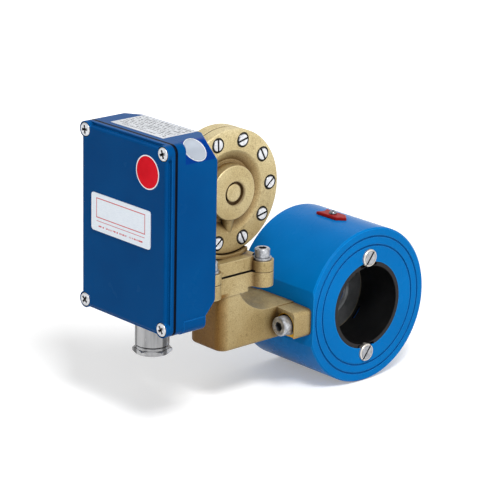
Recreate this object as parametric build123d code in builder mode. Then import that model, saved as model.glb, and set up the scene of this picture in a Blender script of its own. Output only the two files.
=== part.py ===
# Differential-pressure flow transmitter: a wafer pipe section with an orifice plate,
# a cast brass manifold and diaphragm housing, and a die-cast enclosure with the electronics.
# Millimetres. Origin on the pipe axis at the middle of the pipe section.
# X runs along the pipe with the flow, Y points away from the enclosure, Z is up.
import math
import os

from build123d import *

# Pipe section, clamped between two pipe flanges
pipe_od = 107.0
pipe_length = 71.0
pipe_chamfer = 1.0
seat_bore_d = 60.2
throat_d = 54.5
groove_inner_r = 41.5
groove_outer_r = 47.5
groove_width = 1.3
groove_depth = 0.8
flat_depth = 3.5

# Orifice plate and the sleeve that holds it
plate_thickness = 3.0
orifice_d = 29.0
orifice_bevel = 1.2
gasket_thickness = 0.8
slide_gap = 0.1
sleeve_window_length = 10.0
sleeve_window_width = 2.4
sleeve_window_angle = 49.0
annulus_depth = 1.0
annulus_width = 3.4
sleeve_notch_width = 15.0

# Retaining screws of the sleeve
retainer_radius = 33.3
retainer_head_d = 12.0
retainer_head_height = 3.5
retainer_seat_depth = 2.0
retainer_shank_d = 6.0
retainer_length = 12.0

# Flow arrow on the top of the pipe section
arrow_length = 24.0
arrow_width = 9.6
arrow_thickness = 2.0
arrow_tip = 5.4
arrow_tail = 11.0
arrow_notch = 2.4
arrow_screw_d = 3.0
arrow_head_d = 5.4
arrow_head_height = 1.9

# Pressure channels and their seals
channel_d = 3.2
tap_offset = 5.0
port_z = -2.5
low_channel_y = -102.4
high_channel_y = -105.6
seal_wire_d = 1.6
seal_ring_r = 3.1

# Flange joint between the manifold and the diaphragm housing
joint_y = -103.7
joint_z = 37.5
ear_pitch_x = 37.5
ear_pitch_y = 45.0
ear_r = 7.5
ear_overhang = 1.25
ear_blend = 3.0
lower_flange_thickness = 13.2
lower_ear_thickness = 10.0
upper_flange_thickness = 10.0
ear_thickness = 7.2
joint_relief = 1.0
joint_relief_width = 2.2
flange_edge = 0.8

# Manifold casting
body_half_x = 16.6
body_front_y = -113.5
body_back_y = -98.6
body_foot_y = -68.0
body_top_z = 8.4
body_bottom_z = -14.0
body_sweep_depth = 4.6
body_corner_r = 7.0
body_edge_r = 2.5
wing_half_x = 33.5
wing_thickness = 15.0
wing_end_top_z = 7.3
wing_ridge_z = 8.4
wing_end_bottom_z = -11.0
wing_ridge_bottom_z = -12.0
wing_corner_r = 3.0
pocket_r = 7.6
pocket_depth = 3.5
pocket_reach = 12.0
manifold_bolt_x = 25.0

# Socket head screws
m8_d = 8.0
m8_head_d = 13.0
m8_head_height = 8.0
m8_length = 25.0
m8_socket = 6.0
m6_d = 6.0
m6_head_d = 10.0
m6_head_height = 6.0
m6_length = 17.8
m6_socket = 5.0
washer_thickness = 1.6
m8_washer_d = 14.4
m6_washer_d = 12.0
hole_gap = 0.3
thread_gap = 0.05
head_edge = 0.7

# Diaphragm housing
disc_y = -100.8
disc_z = 90.8
disc_r = 41.0
ring_thickness = 8.5
ring_inner_r = 27.3
floor_outer_r = 20.8
floor_x = 4.6
hub_r = 18.15
hub_face_x = 11.9
hub_edge = 0.6
rim_edge = 0.6
button_r = 6.0
button_rise = 0.3
button_edge = 1.0
button_recess_r = 7.6
button_recess_depth = 2.4
button_recess_shift_y = 0.8
button_recess_shift_z = -0.5
ridge_top_r = 15.0
ridge_end_r = 28.0
ridge_start_d = 11.0
ridge_end_d = 4.4
chamber_r = 26.0
chamber_depth = 2.2
front_pocket_r = 15.0
front_pocket_x = 7.4
rear_pocket_r = 16.5
rear_pocket_x = 18.8
rear_hub_r = 21.5
rear_wall = 3.0
rear_slope_x = 12.0
collar_r = 43.8
collar_front_x = 10.5
collar_half_y = 14.0
collar_gap = 0.3
foot_front_x = 6.0
foot_back_x = -8.5
foot_half_y = 14.0
transfer_z = 53.0
cross_port_z = 60.5
port_slot_depth = 3.0

# Screws round the diaphragm housing
rim_screw_count = 10
rim_screw_pcd = 68.4
rim_screw_start = 1.0
rim_screw_d = 5.0
rim_head_d = 8.2
rim_head_height = 3.3
rim_counterbore_d = 9.4
rim_counterbore_depth = 2.8
rim_screw_length = 12.0
slot_width = 1.3
slot_depth = 1.9

# Diaphragm, its plates, the stem and the range spring
diaphragm_thickness = 0.8
diaphragm_plate_r = 14.0
diaphragm_plate_thickness = 1.0
stem_d = 4.0
stem_shoulder_d = 7.2
spring_mean_r = 8.0
spring_wire_d = 1.0
spring_turns = 3.0

# Lever that carries the movement into the enclosure
lever_x = -13.5
lever_pivot_y = -138.0
lever_d = 3.0
lever_eye_d = 9.0
lever_eye_thickness = 2.0
lever_eye_gap = 0.35
lever_end_gap = 0.3
lever_boss_d = 6.8
lever_boss_height = 6.0
lever_tip_y = -158.0
pivot_d = 3.0
running_gap = 0.05
press_gap = 0.02
tunnel_r = 5.2
lever_seal_thickness = 2.0
magnet_d = 5.0
magnet_length = 2.4

# Neck between the diaphragm housing and the enclosure
neck_half_x = 9.0
neck_half_z = 13.0
neck_start_y = -122.0
neck_corner_r = 3.0
neck_gasket_thickness = 0.8
neck_screw_x = 6.2
neck_screw_z = 8.5
neck_screw_d = 4.0
neck_head_d = 7.0
neck_head_height = 3.0
neck_screw_length = 14.0

# Enclosure
box_z = 79.6
box_half_x = 42.8
box_half_z = 61.2
box_corner_r = 5.3
box_back_y = -142.0
box_seam_y = -175.4
box_wall = 3.0
back_edge_r = 1.5
cover_thread_depth = 13.0
board_thread_depth = 9.0
top_relief_x = 16.8
top_relief_z = 15.3
top_relief_y = 10.8
bottom_relief_x = 15.8
bottom_relief_y = 8.8
bottom_relief_z = 8.8
bottom_relief_slope_z = 10.2
inner_top_cut = 14.0
inner_bottom_cut_x = 16.0
inner_bottom_cut_z = 17.0
side_pad_height = 0.5
side_pad_z = 9.0
side_pad_wrap = 12.0
side_pad_start_y = -168.5
side_pad_end_y = -150.8
cover_gasket_thickness = 0.7
cover_gasket_width = 2.2
cover_gasket_inset = 0.5
cover_rim_y = -179.0
cover_front_y = -182.0
cover_wall = 2.4
plateau_inset = 2.1
plateau_edge = 1.6
cover_boss_r = 6.5
cover_screw_d = 5.0
cover_head_d = 8.7
cover_head_height = 2.5
cover_head_proud = 0.5
cover_counterbore_d = 9.6
cover_screw_length = 16.0
cross_width = 1.6
cross_length = 5.4
cross_depth = 1.9

# Nameplate on the cover
nameplate_x = -1.8
nameplate_z = 84.8
nameplate_width = 57.4
nameplate_height = 24.6
nameplate_thickness = 0.6
nameplate_corner_r = 2.0

# Cable gland in the bottom wall
gland_y = -157.5
gland_sleeve_d = 22.2
gland_sleeve_length = 19.0
gland_thread_d = 16.0
gland_bore_d = 13.0
gland_inner_thread = 9.0
gland_neck_d = 18.4
gland_neck_length = 4.6
gland_ring_height = 0.5
gland_ring_d = 20.6
gland_collar_d = 21.8
gland_collar_height = 2.0
gland_nut_flats = 22.2
gland_nut_height = 3.3
gland_nut_turn = 47.8
gland_nut_edge = 0.8
gland_mouth_d = 12.0
gland_seal_bore_d = 9.0
gland_seal_length = 12.0
locknut_flats = 22.0
locknut_height = 4.0
wall_hole_gap = 0.3

# Electronics
board_half_x = 33.0
board_height = 79.0
board_rise = 1.9
board_thickness = 1.6
board_y = -163.0
board_post_x = 28.0
board_post_inset = 5.5
board_post_d = 7.0
board_screw_d = 3.0
board_head_d = 5.6
board_head_height = 2.0
board_screw_length = 10.0
terminal_count = 8
terminal_pitch = 5.0
terminal_height = 9.0
terminal_depth = 10.0
terminal_rise = 8.0
sensor_size = 4.0
sensor_thickness = 1.4
capacitor_d = 8.0
capacitor_height = 11.0
chip_size = 12.0
chip_thickness = 1.6
trimmer_size = 9.0
trimmer_height = 7.0

os.makedirs("parts", exist_ok=True)

pipe_r = pipe_od / 2
face_x = pipe_length / 2
flat_y = flat_depth - pipe_r
shoulder_x = -plate_thickness / 2
plate_front_x = plate_thickness / 2
sleeve_start_x = plate_front_x + gasket_thickness
bolt_seat_y = flat_y - wing_thickness + pocket_depth
flange_half_x = ear_pitch_x / 2 - ear_overhang
flange_half_y = ear_pitch_y / 2 - ear_overhang
body_neck_z = joint_z - lower_flange_thickness
lower_ear_z = joint_z - lower_ear_thickness
upper_face_z = joint_z + upper_flange_thickness
ear_seat_z = joint_z + ear_thickness
rear_face_x = -(rear_pocket_x + rear_wall)
neck_face_y = box_back_y + neck_gasket_thickness
gasket_face_y = box_seam_y - cover_gasket_thickness
box_bottom_z = box_z - box_half_z
inner_back_y = box_back_y - box_wall
cover_screw_x = box_half_x - box_corner_r
cover_screw_z = box_half_z - box_corner_r
board_mid_z = box_z + board_rise
board_bottom_z = board_mid_z - board_height / 2
board_top_z = board_mid_z + board_height / 2
terminal_z = board_bottom_z + terminal_rise
board_post_z = board_height / 2 - board_post_inset
board_front_y = board_y - board_thickness
half_membrane = diaphragm_thickness / 2
rim_head_x = ring_thickness - rim_counterbore_depth
plate_face_x = half_membrane + diaphragm_plate_thickness
sleeve_end_z = box_bottom_z - gland_sleeve_length
gland_collar_z = sleeve_end_z - gland_ring_height
gland_nut_z = gland_collar_z - gland_collar_height
cover_head_y = cover_front_y - cover_head_proud + cover_head_height
disc_axis = Axis((0, disc_y, disc_z), (1, 0, 0))


def at_x(x):
    return Plane.YZ.offset(x)


def at_y(y):
    return Plane.XZ.offset(-y)


def at_z(z):
    return Plane.XY.offset(z)


# Pipe section: a ring with a stepped bore, sealing grooves and a flat for the manifold
with BuildPart() as pipe_section:
    with BuildSketch(at_x(-face_x)):
        Circle(pipe_r)
    extrude(amount=pipe_length)
    chamfer(pipe_section.edges().filter_by(GeomType.CIRCLE), pipe_chamfer)
    with BuildSketch(at_x(-face_x)):
        Circle(throat_d / 2)
    extrude(amount=pipe_length, mode=Mode.SUBTRACT)
    with BuildSketch(at_x(shoulder_x)):
        Circle(seat_bore_d / 2)
    extrude(amount=face_x - shoulder_x, mode=Mode.SUBTRACT)
    for groove_r in (groove_inner_r, groove_outer_r):
        with BuildSketch(at_x(face_x - groove_depth), at_x(-face_x)):
            Circle(groove_r + groove_width / 2)
            Circle(groove_r - groove_width / 2, mode=Mode.SUBTRACT)
        extrude(amount=groove_depth, mode=Mode.SUBTRACT)
    # Flat on the side that faces the enclosure
    with BuildSketch(at_y(flat_y)):
        Rectangle(pipe_length, pipe_od)
    extrude(amount=pipe_od, mode=Mode.SUBTRACT)
    # Tapped holes of the manifold bolts and the two pressure taps
    with BuildSketch(at_y(flat_y)):
        with Locations((manifold_bolt_x, port_z), (-manifold_bolt_x, port_z)):
            Circle(m8_d / 2 + thread_gap)
    extrude(amount=-(m8_length - (flat_y - bolt_seat_y) - washer_thickness + 1.0), mode=Mode.SUBTRACT)
    with BuildSketch(at_y(flat_y)):
        with Locations((tap_offset, port_z), (-tap_offset, port_z)):
            Circle(channel_d / 2)
    extrude(amount=-(abs(flat_y) - throat_d / 2 + 3.0), mode=Mode.SUBTRACT)
    # Seats and tapped holes of the two retaining screws
    with BuildSketch(at_x(face_x)):
        with Locations((0, retainer_radius), (0, -retainer_radius)):
            Circle(retainer_head_d / 2 + slide_gap)
    extrude(amount=-retainer_seat_depth, mode=Mode.SUBTRACT)
    with BuildSketch(at_x(face_x)):
        with Locations((0, retainer_radius), (0, -retainer_radius)):
            Circle(retainer_shank_d / 2 + thread_gap)
    extrude(amount=-(retainer_seat_depth + retainer_length + 1.0), mode=Mode.SUBTRACT)
    # Tapped hole of the arrow screw
    with BuildSketch(at_z(pipe_r)):
        Circle(arrow_screw_d / 2 + thread_gap)
    extrude(amount=-9.0, mode=Mode.SUBTRACT)
pipe_section.part.label = "pipe_section"

# Orifice plate with a bevel on the outlet side
with BuildPart() as orifice_plate:
    with BuildSketch(at_x(shoulder_x)):
        Circle(seat_bore_d / 2 - slide_gap)
        Circle(orifice_d / 2, mode=Mode.SUBTRACT)
    extrude(amount=plate_thickness)
    outlet_edges = orifice_plate.edges().filter_by(GeomType.CIRCLE).group_by(Axis.X)[-1]
    chamfer(outlet_edges.sort_by(SortBy.RADIUS)[0], orifice_bevel)
orifice_plate.part.label = "orifice_plate"

# Flat gasket between the plate and the sleeve
with BuildPart() as orifice_gasket:
    with BuildSketch(at_x(plate_front_x)):
        Circle(seat_bore_d / 2 - slide_gap)
        Circle(throat_d / 2, mode=Mode.SUBTRACT)
    extrude(amount=gasket_thickness)
orifice_gasket.part.label = "orifice_gasket"

# Sleeve that presses the plate against the shoulder
with BuildPart() as orifice_sleeve:
    with BuildSketch(at_x(sleeve_start_x)):
        Circle(seat_bore_d / 2 - slide_gap)
        Circle(throat_d / 2, mode=Mode.SUBTRACT)
    extrude(amount=face_x - sleeve_start_x)
    # Outer annulus that links the windows to the pressure tap
    with BuildSketch(at_x(tap_offset - annulus_width / 2)):
        Circle(seat_bore_d / 2)
        Circle(seat_bore_d / 2 - slide_gap - annulus_depth, mode=Mode.SUBTRACT)
    extrude(amount=annulus_width, mode=Mode.SUBTRACT)
    for turn in range(4):
        window_plane = Plane.XY.rotated((sleeve_window_angle + 90.0 * turn, 0, 0))
        with BuildSketch(window_plane):
            with Locations((tap_offset, 0)):
                SlotOverall(sleeve_window_length, sleeve_window_width, rotation=90)
        extrude(amount=seat_bore_d / 2, mode=Mode.SUBTRACT)
    # Notches in the outer lip under the retaining screws
    with BuildSketch(at_x(face_x)):
        with Locations((0, retainer_radius), (0, -retainer_radius)):
            Rectangle(sleeve_notch_width, retainer_head_d + 2 * slide_gap)
    extrude(amount=-retainer_seat_depth, mode=Mode.SUBTRACT)
orifice_sleeve.part.label = "orifice_sleeve"

# Two slotted screws that hold the sleeve
with BuildPart() as retaining_screws:
    head_base_x = face_x - retainer_seat_depth
    with BuildSketch(at_x(head_base_x)):
        with Locations((0, retainer_radius), (0, -retainer_radius)):
            Circle(retainer_head_d / 2)
    extrude(amount=retainer_head_height)
    chamfer(retaining_screws.edges().filter_by(GeomType.CIRCLE).group_by(Axis.X)[-1], 0.5)
    with BuildSketch(at_x(head_base_x)):
        with Locations((0, retainer_radius), (0, -retainer_radius)):
            Circle(retainer_shank_d / 2)
    extrude(amount=-retainer_length)
    with BuildSketch(at_x(head_base_x + retainer_head_height)):
        with Locations((0, retainer_radius), (0, -retainer_radius)):
            Rectangle(retainer_head_d, slot_width, rotation=52)
    extrude(amount=-slot_depth, mode=Mode.SUBTRACT)
retaining_screws.part.label = "retaining_screws"

# Flow arrow: a flat plate with a pointed nose and a notched tail
with BuildPart() as flow_arrow:
    with BuildSketch(at_z(pipe_r)):
        nose_x = arrow_length - arrow_tail
        with BuildLine():
            Polyline(
                (-arrow_tail, -arrow_width / 2),
                (nose_x - arrow_tip, -arrow_width / 2),
                (nose_x, 0),
                (nose_x - arrow_tip, arrow_width / 2),
                (-arrow_tail, arrow_width / 2),
                (-arrow_tail + arrow_notch, 0),
                close=True,
            )
        make_face()
        Circle(arrow_screw_d / 2 + hole_gap, mode=Mode.SUBTRACT)
    extrude(amount=arrow_thickness)
    top_edges = flow_arrow.edges().group_by(Axis.Z)[-1].filter_by(GeomType.LINE)
    chamfer(top_edges, 0.5)
flow_arrow.part.label = "flow_arrow"

# Round head screw of the arrow
with BuildPart() as arrow_screw:
    with BuildSketch(at_z(pipe_r + arrow_thickness)):
        Circle(arrow_head_d / 2)
    extrude(amount=arrow_head_height)
    fillet(arrow_screw.edges().group_by(Axis.Z)[-1], arrow_head_height * 0.8)
    with BuildSketch(at_z(pipe_r + arrow_thickness)):
        Circle(arrow_screw_d / 2)
    extrude(amount=-(arrow_thickness + 8.0))
    with BuildSketch(at_z(pipe_r + arrow_thickness + arrow_head_height)):
        RegularPolygon(1.2, 6)
    extrude(amount=-1.0, mode=Mode.SUBTRACT)
arrow_screw.part.label = "arrow_screw"


def flange_outline(inset=0.0):
    # Plate with a round ear at each corner
    Rectangle(2 * (flange_half_x - inset), 2 * (flange_half_y - inset))
    with GridLocations(ear_pitch_x, ear_pitch_y, 2, 2):
        Circle(ear_r)


# Body of the manifold, swept from the flange down to the pipe section
with BuildPart() as manifold_body:
    with BuildSketch(at_x(-body_half_x)):
        with BuildLine():
            sweep_start = (body_back_y, body_neck_z)
            sweep_middle_y = (body_back_y + body_foot_y) / 2 - body_sweep_depth / 2
            sweep_middle_z = (body_neck_z + body_top_z) / 2 - body_sweep_depth
            sweep_end = (body_foot_y, body_top_z)
            ThreePointArc(sweep_start, (sweep_middle_y, sweep_middle_z), sweep_end)
            Polyline(
                sweep_end,
                (flat_y, body_top_z),
                (flat_y, body_bottom_z),
                (body_front_y, body_bottom_z),
                (body_front_y, lower_ear_z + 2.0),
                (body_back_y, lower_ear_z + 2.0),
                sweep_start,
            )
        make_face()
    extrude(amount=2 * body_half_x)
    fillet(manifold_body.edges().filter_by(Axis.Z).group_by(Axis.Y)[0], body_corner_r)
    low_edges = manifold_body.edges().group_by(Axis.Z)[0]
    fillet(low_edges.filter_by(lambda edge: edge.center().Y < flat_y - 1.0), body_edge_r)

# Manifold casting: upper flange, the swept body and the bolted wings
with BuildPart() as manifold:
    with BuildSketch(Plane((0, joint_y, lower_ear_z))):
        flange_outline()
    extrude(amount=lower_ear_thickness)
    inner_corners = manifold.edges().filter_by(Axis.Z).filter_by(GeomType.LINE)
    fillet(inner_corners, ear_blend)
    fillet(manifold.edges().group_by(Axis.Z)[-1], flange_edge)
    with BuildSketch(Plane((0, joint_y, body_neck_z))):
        RectangleRounded(2 * flange_half_x, 2 * flange_half_y - 2 * ear_r, ear_blend)
    extrude(amount=lower_flange_thickness - 1.0)
    add(manifold_body.part)
    # Wings with a slight roof from the casting draft
    with BuildSketch(at_y(flat_y)) as wing_sketch:
        with BuildLine():
            Polyline(
                (-wing_half_x, wing_end_bottom_z),
                (0, wing_ridge_bottom_z),
                (wing_half_x, wing_end_bottom_z),
                (wing_half_x, wing_end_top_z),
                (0, wing_ridge_z),
                (-wing_half_x, wing_end_top_z),
                close=True,
            )
        make_face()
        end_corners = wing_sketch.vertices().group_by(Axis.X)[0] + wing_sketch.vertices().group_by(Axis.X)[-1]
        fillet(end_corners, wing_corner_r)
    extrude(amount=wing_thickness)
    # Bolt pockets, open to the front and below, and their holes
    with BuildSketch(at_y(bolt_seat_y)):
        with Locations((manifold_bolt_x, port_z), (-manifold_bolt_x, port_z)):
            Circle(pocket_r)
        drop = port_z - body_bottom_z + 2.0
        with Locations((manifold_bolt_x, port_z - drop / 2), (-manifold_bolt_x, port_z - drop / 2)):
            Rectangle(2 * pocket_r, drop)
    extrude(amount=pocket_depth + pocket_reach, mode=Mode.SUBTRACT)
    with BuildSketch(at_y(flat_y)):
        with Locations((manifold_bolt_x, port_z), (-manifold_bolt_x, port_z)):
            Circle(m8_d / 2 + hole_gap)
    extrude(amount=wing_thickness, mode=Mode.SUBTRACT)
    # Tapped holes in the ears
    with BuildSketch(Plane((0, joint_y, joint_z))):
        with GridLocations(ear_pitch_x, ear_pitch_y, 2, 2):
            Circle(m6_d / 2 + thread_gap)
    extrude(amount=-lower_ear_thickness, mode=Mode.SUBTRACT)
    # Low pressure channel on the inlet side of X, high pressure channel on the other
    for tap_x, channel_y in ((-tap_offset, low_channel_y), (tap_offset, high_channel_y)):
        with BuildSketch(at_y(flat_y)):
            with Locations((tap_x, port_z)):
                Circle(channel_d / 2)
        extrude(amount=flat_y - channel_y, mode=Mode.SUBTRACT)
        with BuildSketch(at_z(port_z)):
            with Locations((tap_x, channel_y)):
                Circle(channel_d / 2)
        extrude(amount=joint_z - port_z, mode=Mode.SUBTRACT)
        # Recesses of the seal rings at both ends
        with BuildSketch(at_y(flat_y)):
            with Locations((tap_x, port_z)):
                Circle(seal_ring_r + seal_wire_d / 2 + slide_gap)
        extrude(amount=seal_wire_d, mode=Mode.SUBTRACT)
        with BuildSketch(at_z(joint_z)):
            with Locations((tap_x, channel_y)):
                Circle(seal_ring_r + seal_wire_d / 2 + slide_gap)
        extrude(amount=-seal_wire_d, mode=Mode.SUBTRACT)
manifold.part.label = "manifold"

# Seal rings of the pressure channels
with BuildPart() as channel_seals:
    with Locations(Plane((-tap_offset, low_channel_y, joint_z - seal_wire_d / 2))):
        Torus(seal_ring_r, seal_wire_d / 2)
    with Locations(Plane((tap_offset, high_channel_y, joint_z - seal_wire_d / 2))):
        Torus(seal_ring_r, seal_wire_d / 2)
    for side in (-1, 1):
        with Locations(Plane((side * tap_offset, flat_y - seal_wire_d / 2, port_z), z_dir=(0, 1, 0))):
            Torus(seal_ring_r, seal_wire_d / 2)
channel_seals.part.label = "channel_seals"

# Manifold bolts with hexagon sockets
with BuildPart() as manifold_screws:
    bolt_head_y = bolt_seat_y - washer_thickness
    with BuildSketch(at_y(bolt_head_y)):
        with Locations((manifold_bolt_x, port_z), (-manifold_bolt_x, port_z)):
            Circle(m8_head_d / 2)
    extrude(amount=m8_head_height)
    chamfer(manifold_screws.edges().filter_by(GeomType.CIRCLE).group_by(Axis.Y)[0], head_edge)
    with BuildSketch(at_y(bolt_head_y)):
        with Locations((manifold_bolt_x, port_z), (-manifold_bolt_x, port_z)):
            Circle(m8_d / 2)
    extrude(amount=-m8_length)
    with BuildSketch(at_y(bolt_head_y - m8_head_height)):
        with Locations((manifold_bolt_x, port_z), (-manifold_bolt_x, port_z)):
            RegularPolygon(m8_socket / 2, 6, major_radius=False)
    extrude(amount=-m8_head_height / 2, mode=Mode.SUBTRACT)
manifold_screws.part.label = "manifold_screws"

with BuildPart() as manifold_washers:
    with BuildSketch(at_y(bolt_seat_y)):
        with Locations((manifold_bolt_x, port_z), (-manifold_bolt_x, port_z)):
            Circle(m8_washer_d / 2)
            Circle(m8_d / 2 + hole_gap, mode=Mode.SUBTRACT)
    extrude(amount=washer_thickness)
manifold_washers.part.label = "manifold_washers"

# Rear half of the diaphragm housing: hub, ring, foot with flange, and the neck to the enclosure
with BuildPart() as housing_base:
    with BuildSketch(at_y(disc_y)):
        with BuildLine():
            Polyline(
                (-half_membrane, disc_z),
                (-half_membrane, disc_z + disc_r),
                (-ring_thickness, disc_z + disc_r),
                (-ring_thickness, disc_z + ring_inner_r),
                (-rear_slope_x, disc_z + rear_hub_r + 1.5),
                (rear_face_x, disc_z + rear_hub_r),
                (rear_face_x, disc_z),
                close=True,
            )
        make_face()
    revolve(axis=disc_axis)
    # Foot under the ring
    with BuildSketch(Plane((0, disc_y, joint_z + upper_flange_thickness / 2))):
        with Locations(((foot_front_x + foot_back_x) / 2, 0)):
            Rectangle(foot_front_x - foot_back_x, 2 * foot_half_y)
    extrude(amount=disc_z - disc_r - joint_z + 8.0)
    # Flange with its ears
    with BuildSketch(Plane((0, joint_y, joint_z + joint_relief))):
        flange_outline()
    extrude(amount=ear_thickness - joint_relief)
    with BuildSketch(Plane((0, joint_y, joint_z))):
        flange_outline(joint_relief_width)
    extrude(amount=joint_relief)
    with BuildSketch(Plane((0, joint_y, ear_seat_z - 1.0))):
        RectangleRounded(2 * flange_half_x, 2 * flange_half_y, 3.0)
    extrude(amount=upper_face_z - ear_seat_z + 1.0)
    with BuildSketch(Plane((0, joint_y, ear_seat_z))):
        with GridLocations(ear_pitch_x, ear_pitch_y, 2, 2):
            Circle(m6_washer_d / 2 + 0.6)
    extrude(amount=upper_flange_thickness, mode=Mode.SUBTRACT)
    # Collar in front that follows the round cover
    with BuildSketch(at_x(-1.0)):
        with Locations((disc_y, disc_z)):
            Circle(collar_r)
        with Locations((disc_y, disc_z - disc_r)):
            Rectangle(2 * collar_half_y, 14.0, mode=Mode.INTERSECT)
    extrude(amount=collar_front_x + 1.0)
    # Room for the round cover in front of the joint plane
    with BuildSketch(at_x(-half_membrane)):
        with Locations((disc_y, disc_z)):
            Circle(disc_r + collar_gap)
    extrude(amount=collar_front_x + 5.0, mode=Mode.SUBTRACT)
    # Neck to the enclosure
    with BuildSketch(at_y(neck_face_y)):
        with Locations((lever_x, disc_z)):
            RectangleRounded(2 * neck_half_x, 2 * neck_half_z, neck_corner_r)
    extrude(amount=-(neck_start_y - neck_face_y))
    # Pressure chamber behind the diaphragm
    with BuildSketch(at_y(disc_y)):
        with BuildLine():
            Polyline(
                (0, disc_z),
                (0, disc_z + chamber_r),
                (-chamber_depth, disc_z + chamber_r),
                (-chamber_depth - 1.0, disc_z + rear_pocket_r + 1.0),
                (-rear_pocket_x, disc_z + rear_pocket_r),
                (-rear_pocket_x, disc_z),
                close=True,
            )
        make_face()
    revolve(axis=disc_axis, mode=Mode.SUBTRACT)
    # The ring stops at the face of the neck
    with BuildSketch(at_y(neck_face_y)):
        with Locations((0, disc_z)):
            Rectangle(2 * disc_r, 2 * disc_r)
    extrude(amount=5.0, mode=Mode.SUBTRACT)
    # Tunnel of the lever
    with BuildSketch(at_y(disc_y)):
        with Locations((lever_x, disc_z)):
            Circle(tunnel_r)
    extrude(amount=disc_y - neck_face_y, mode=Mode.SUBTRACT)
    # Hole of the pivot pin across the neck
    with BuildSketch(Plane((lever_x, lever_pivot_y, disc_z - neck_half_z))):
        Circle(pivot_d / 2 + press_gap)
    extrude(amount=2 * neck_half_z, mode=Mode.SUBTRACT)
    # Tapped holes for the rim screws and for the screws of the enclosure
    with BuildSketch(at_x(0)):
        with Locations((disc_y, disc_z)):
            with PolarLocations(rim_screw_pcd / 2, rim_screw_count, rim_screw_start):
                Circle(rim_screw_d / 2 + thread_gap)
    extrude(amount=-(ring_thickness - 1.5), mode=Mode.SUBTRACT)
    with BuildSketch(at_y(neck_face_y)):
        with Locations((lever_x, disc_z)):
            with GridLocations(2 * neck_screw_x, 2 * neck_screw_z, 2, 2):
                Circle(neck_screw_d / 2 + thread_gap)
    neck_thread = neck_screw_length - box_wall - neck_gasket_thickness + 1.0
    extrude(amount=-neck_thread, mode=Mode.SUBTRACT)
    # Screw holes in the ears
    with BuildSketch(Plane((0, joint_y, joint_z))):
        with GridLocations(ear_pitch_x, ear_pitch_y, 2, 2):
            Circle(m6_d / 2 + hole_gap)
    extrude(amount=upper_flange_thickness, mode=Mode.SUBTRACT)
    # Low pressure channel up into the chamber
    with BuildSketch(Plane((-tap_offset, low_channel_y, joint_z))):
        Circle(channel_d / 2)
    extrude(amount=disc_z - chamber_r + 1.0 - joint_z, mode=Mode.SUBTRACT)
    # High pressure channel: a slanted run, a riser and a cross port to the front cover
    run_x = 2 * tap_offset
    run_z = transfer_z - joint_z
    slant = Plane((tap_offset, high_channel_y, joint_z), x_dir=(0, 1, 0), z_dir=(-run_x, 0, run_z))
    with BuildSketch(slant.offset(-1.0)):
        Circle(channel_d / 2)
    extrude(amount=math.hypot(run_x, run_z) + 1.5, mode=Mode.SUBTRACT)
    with BuildSketch(Plane((-tap_offset, high_channel_y, transfer_z - channel_d / 2))):
        Circle(channel_d / 2 - slide_gap)
    extrude(amount=cross_port_z - transfer_z + channel_d / 2, mode=Mode.SUBTRACT)
    with BuildSketch(at_x(-tap_offset)):
        with Locations((high_channel_y, cross_port_z)):
            Circle(channel_d / 2)
    extrude(amount=tap_offset, mode=Mode.SUBTRACT)
housing_base.part.label = "housing_base"

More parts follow.
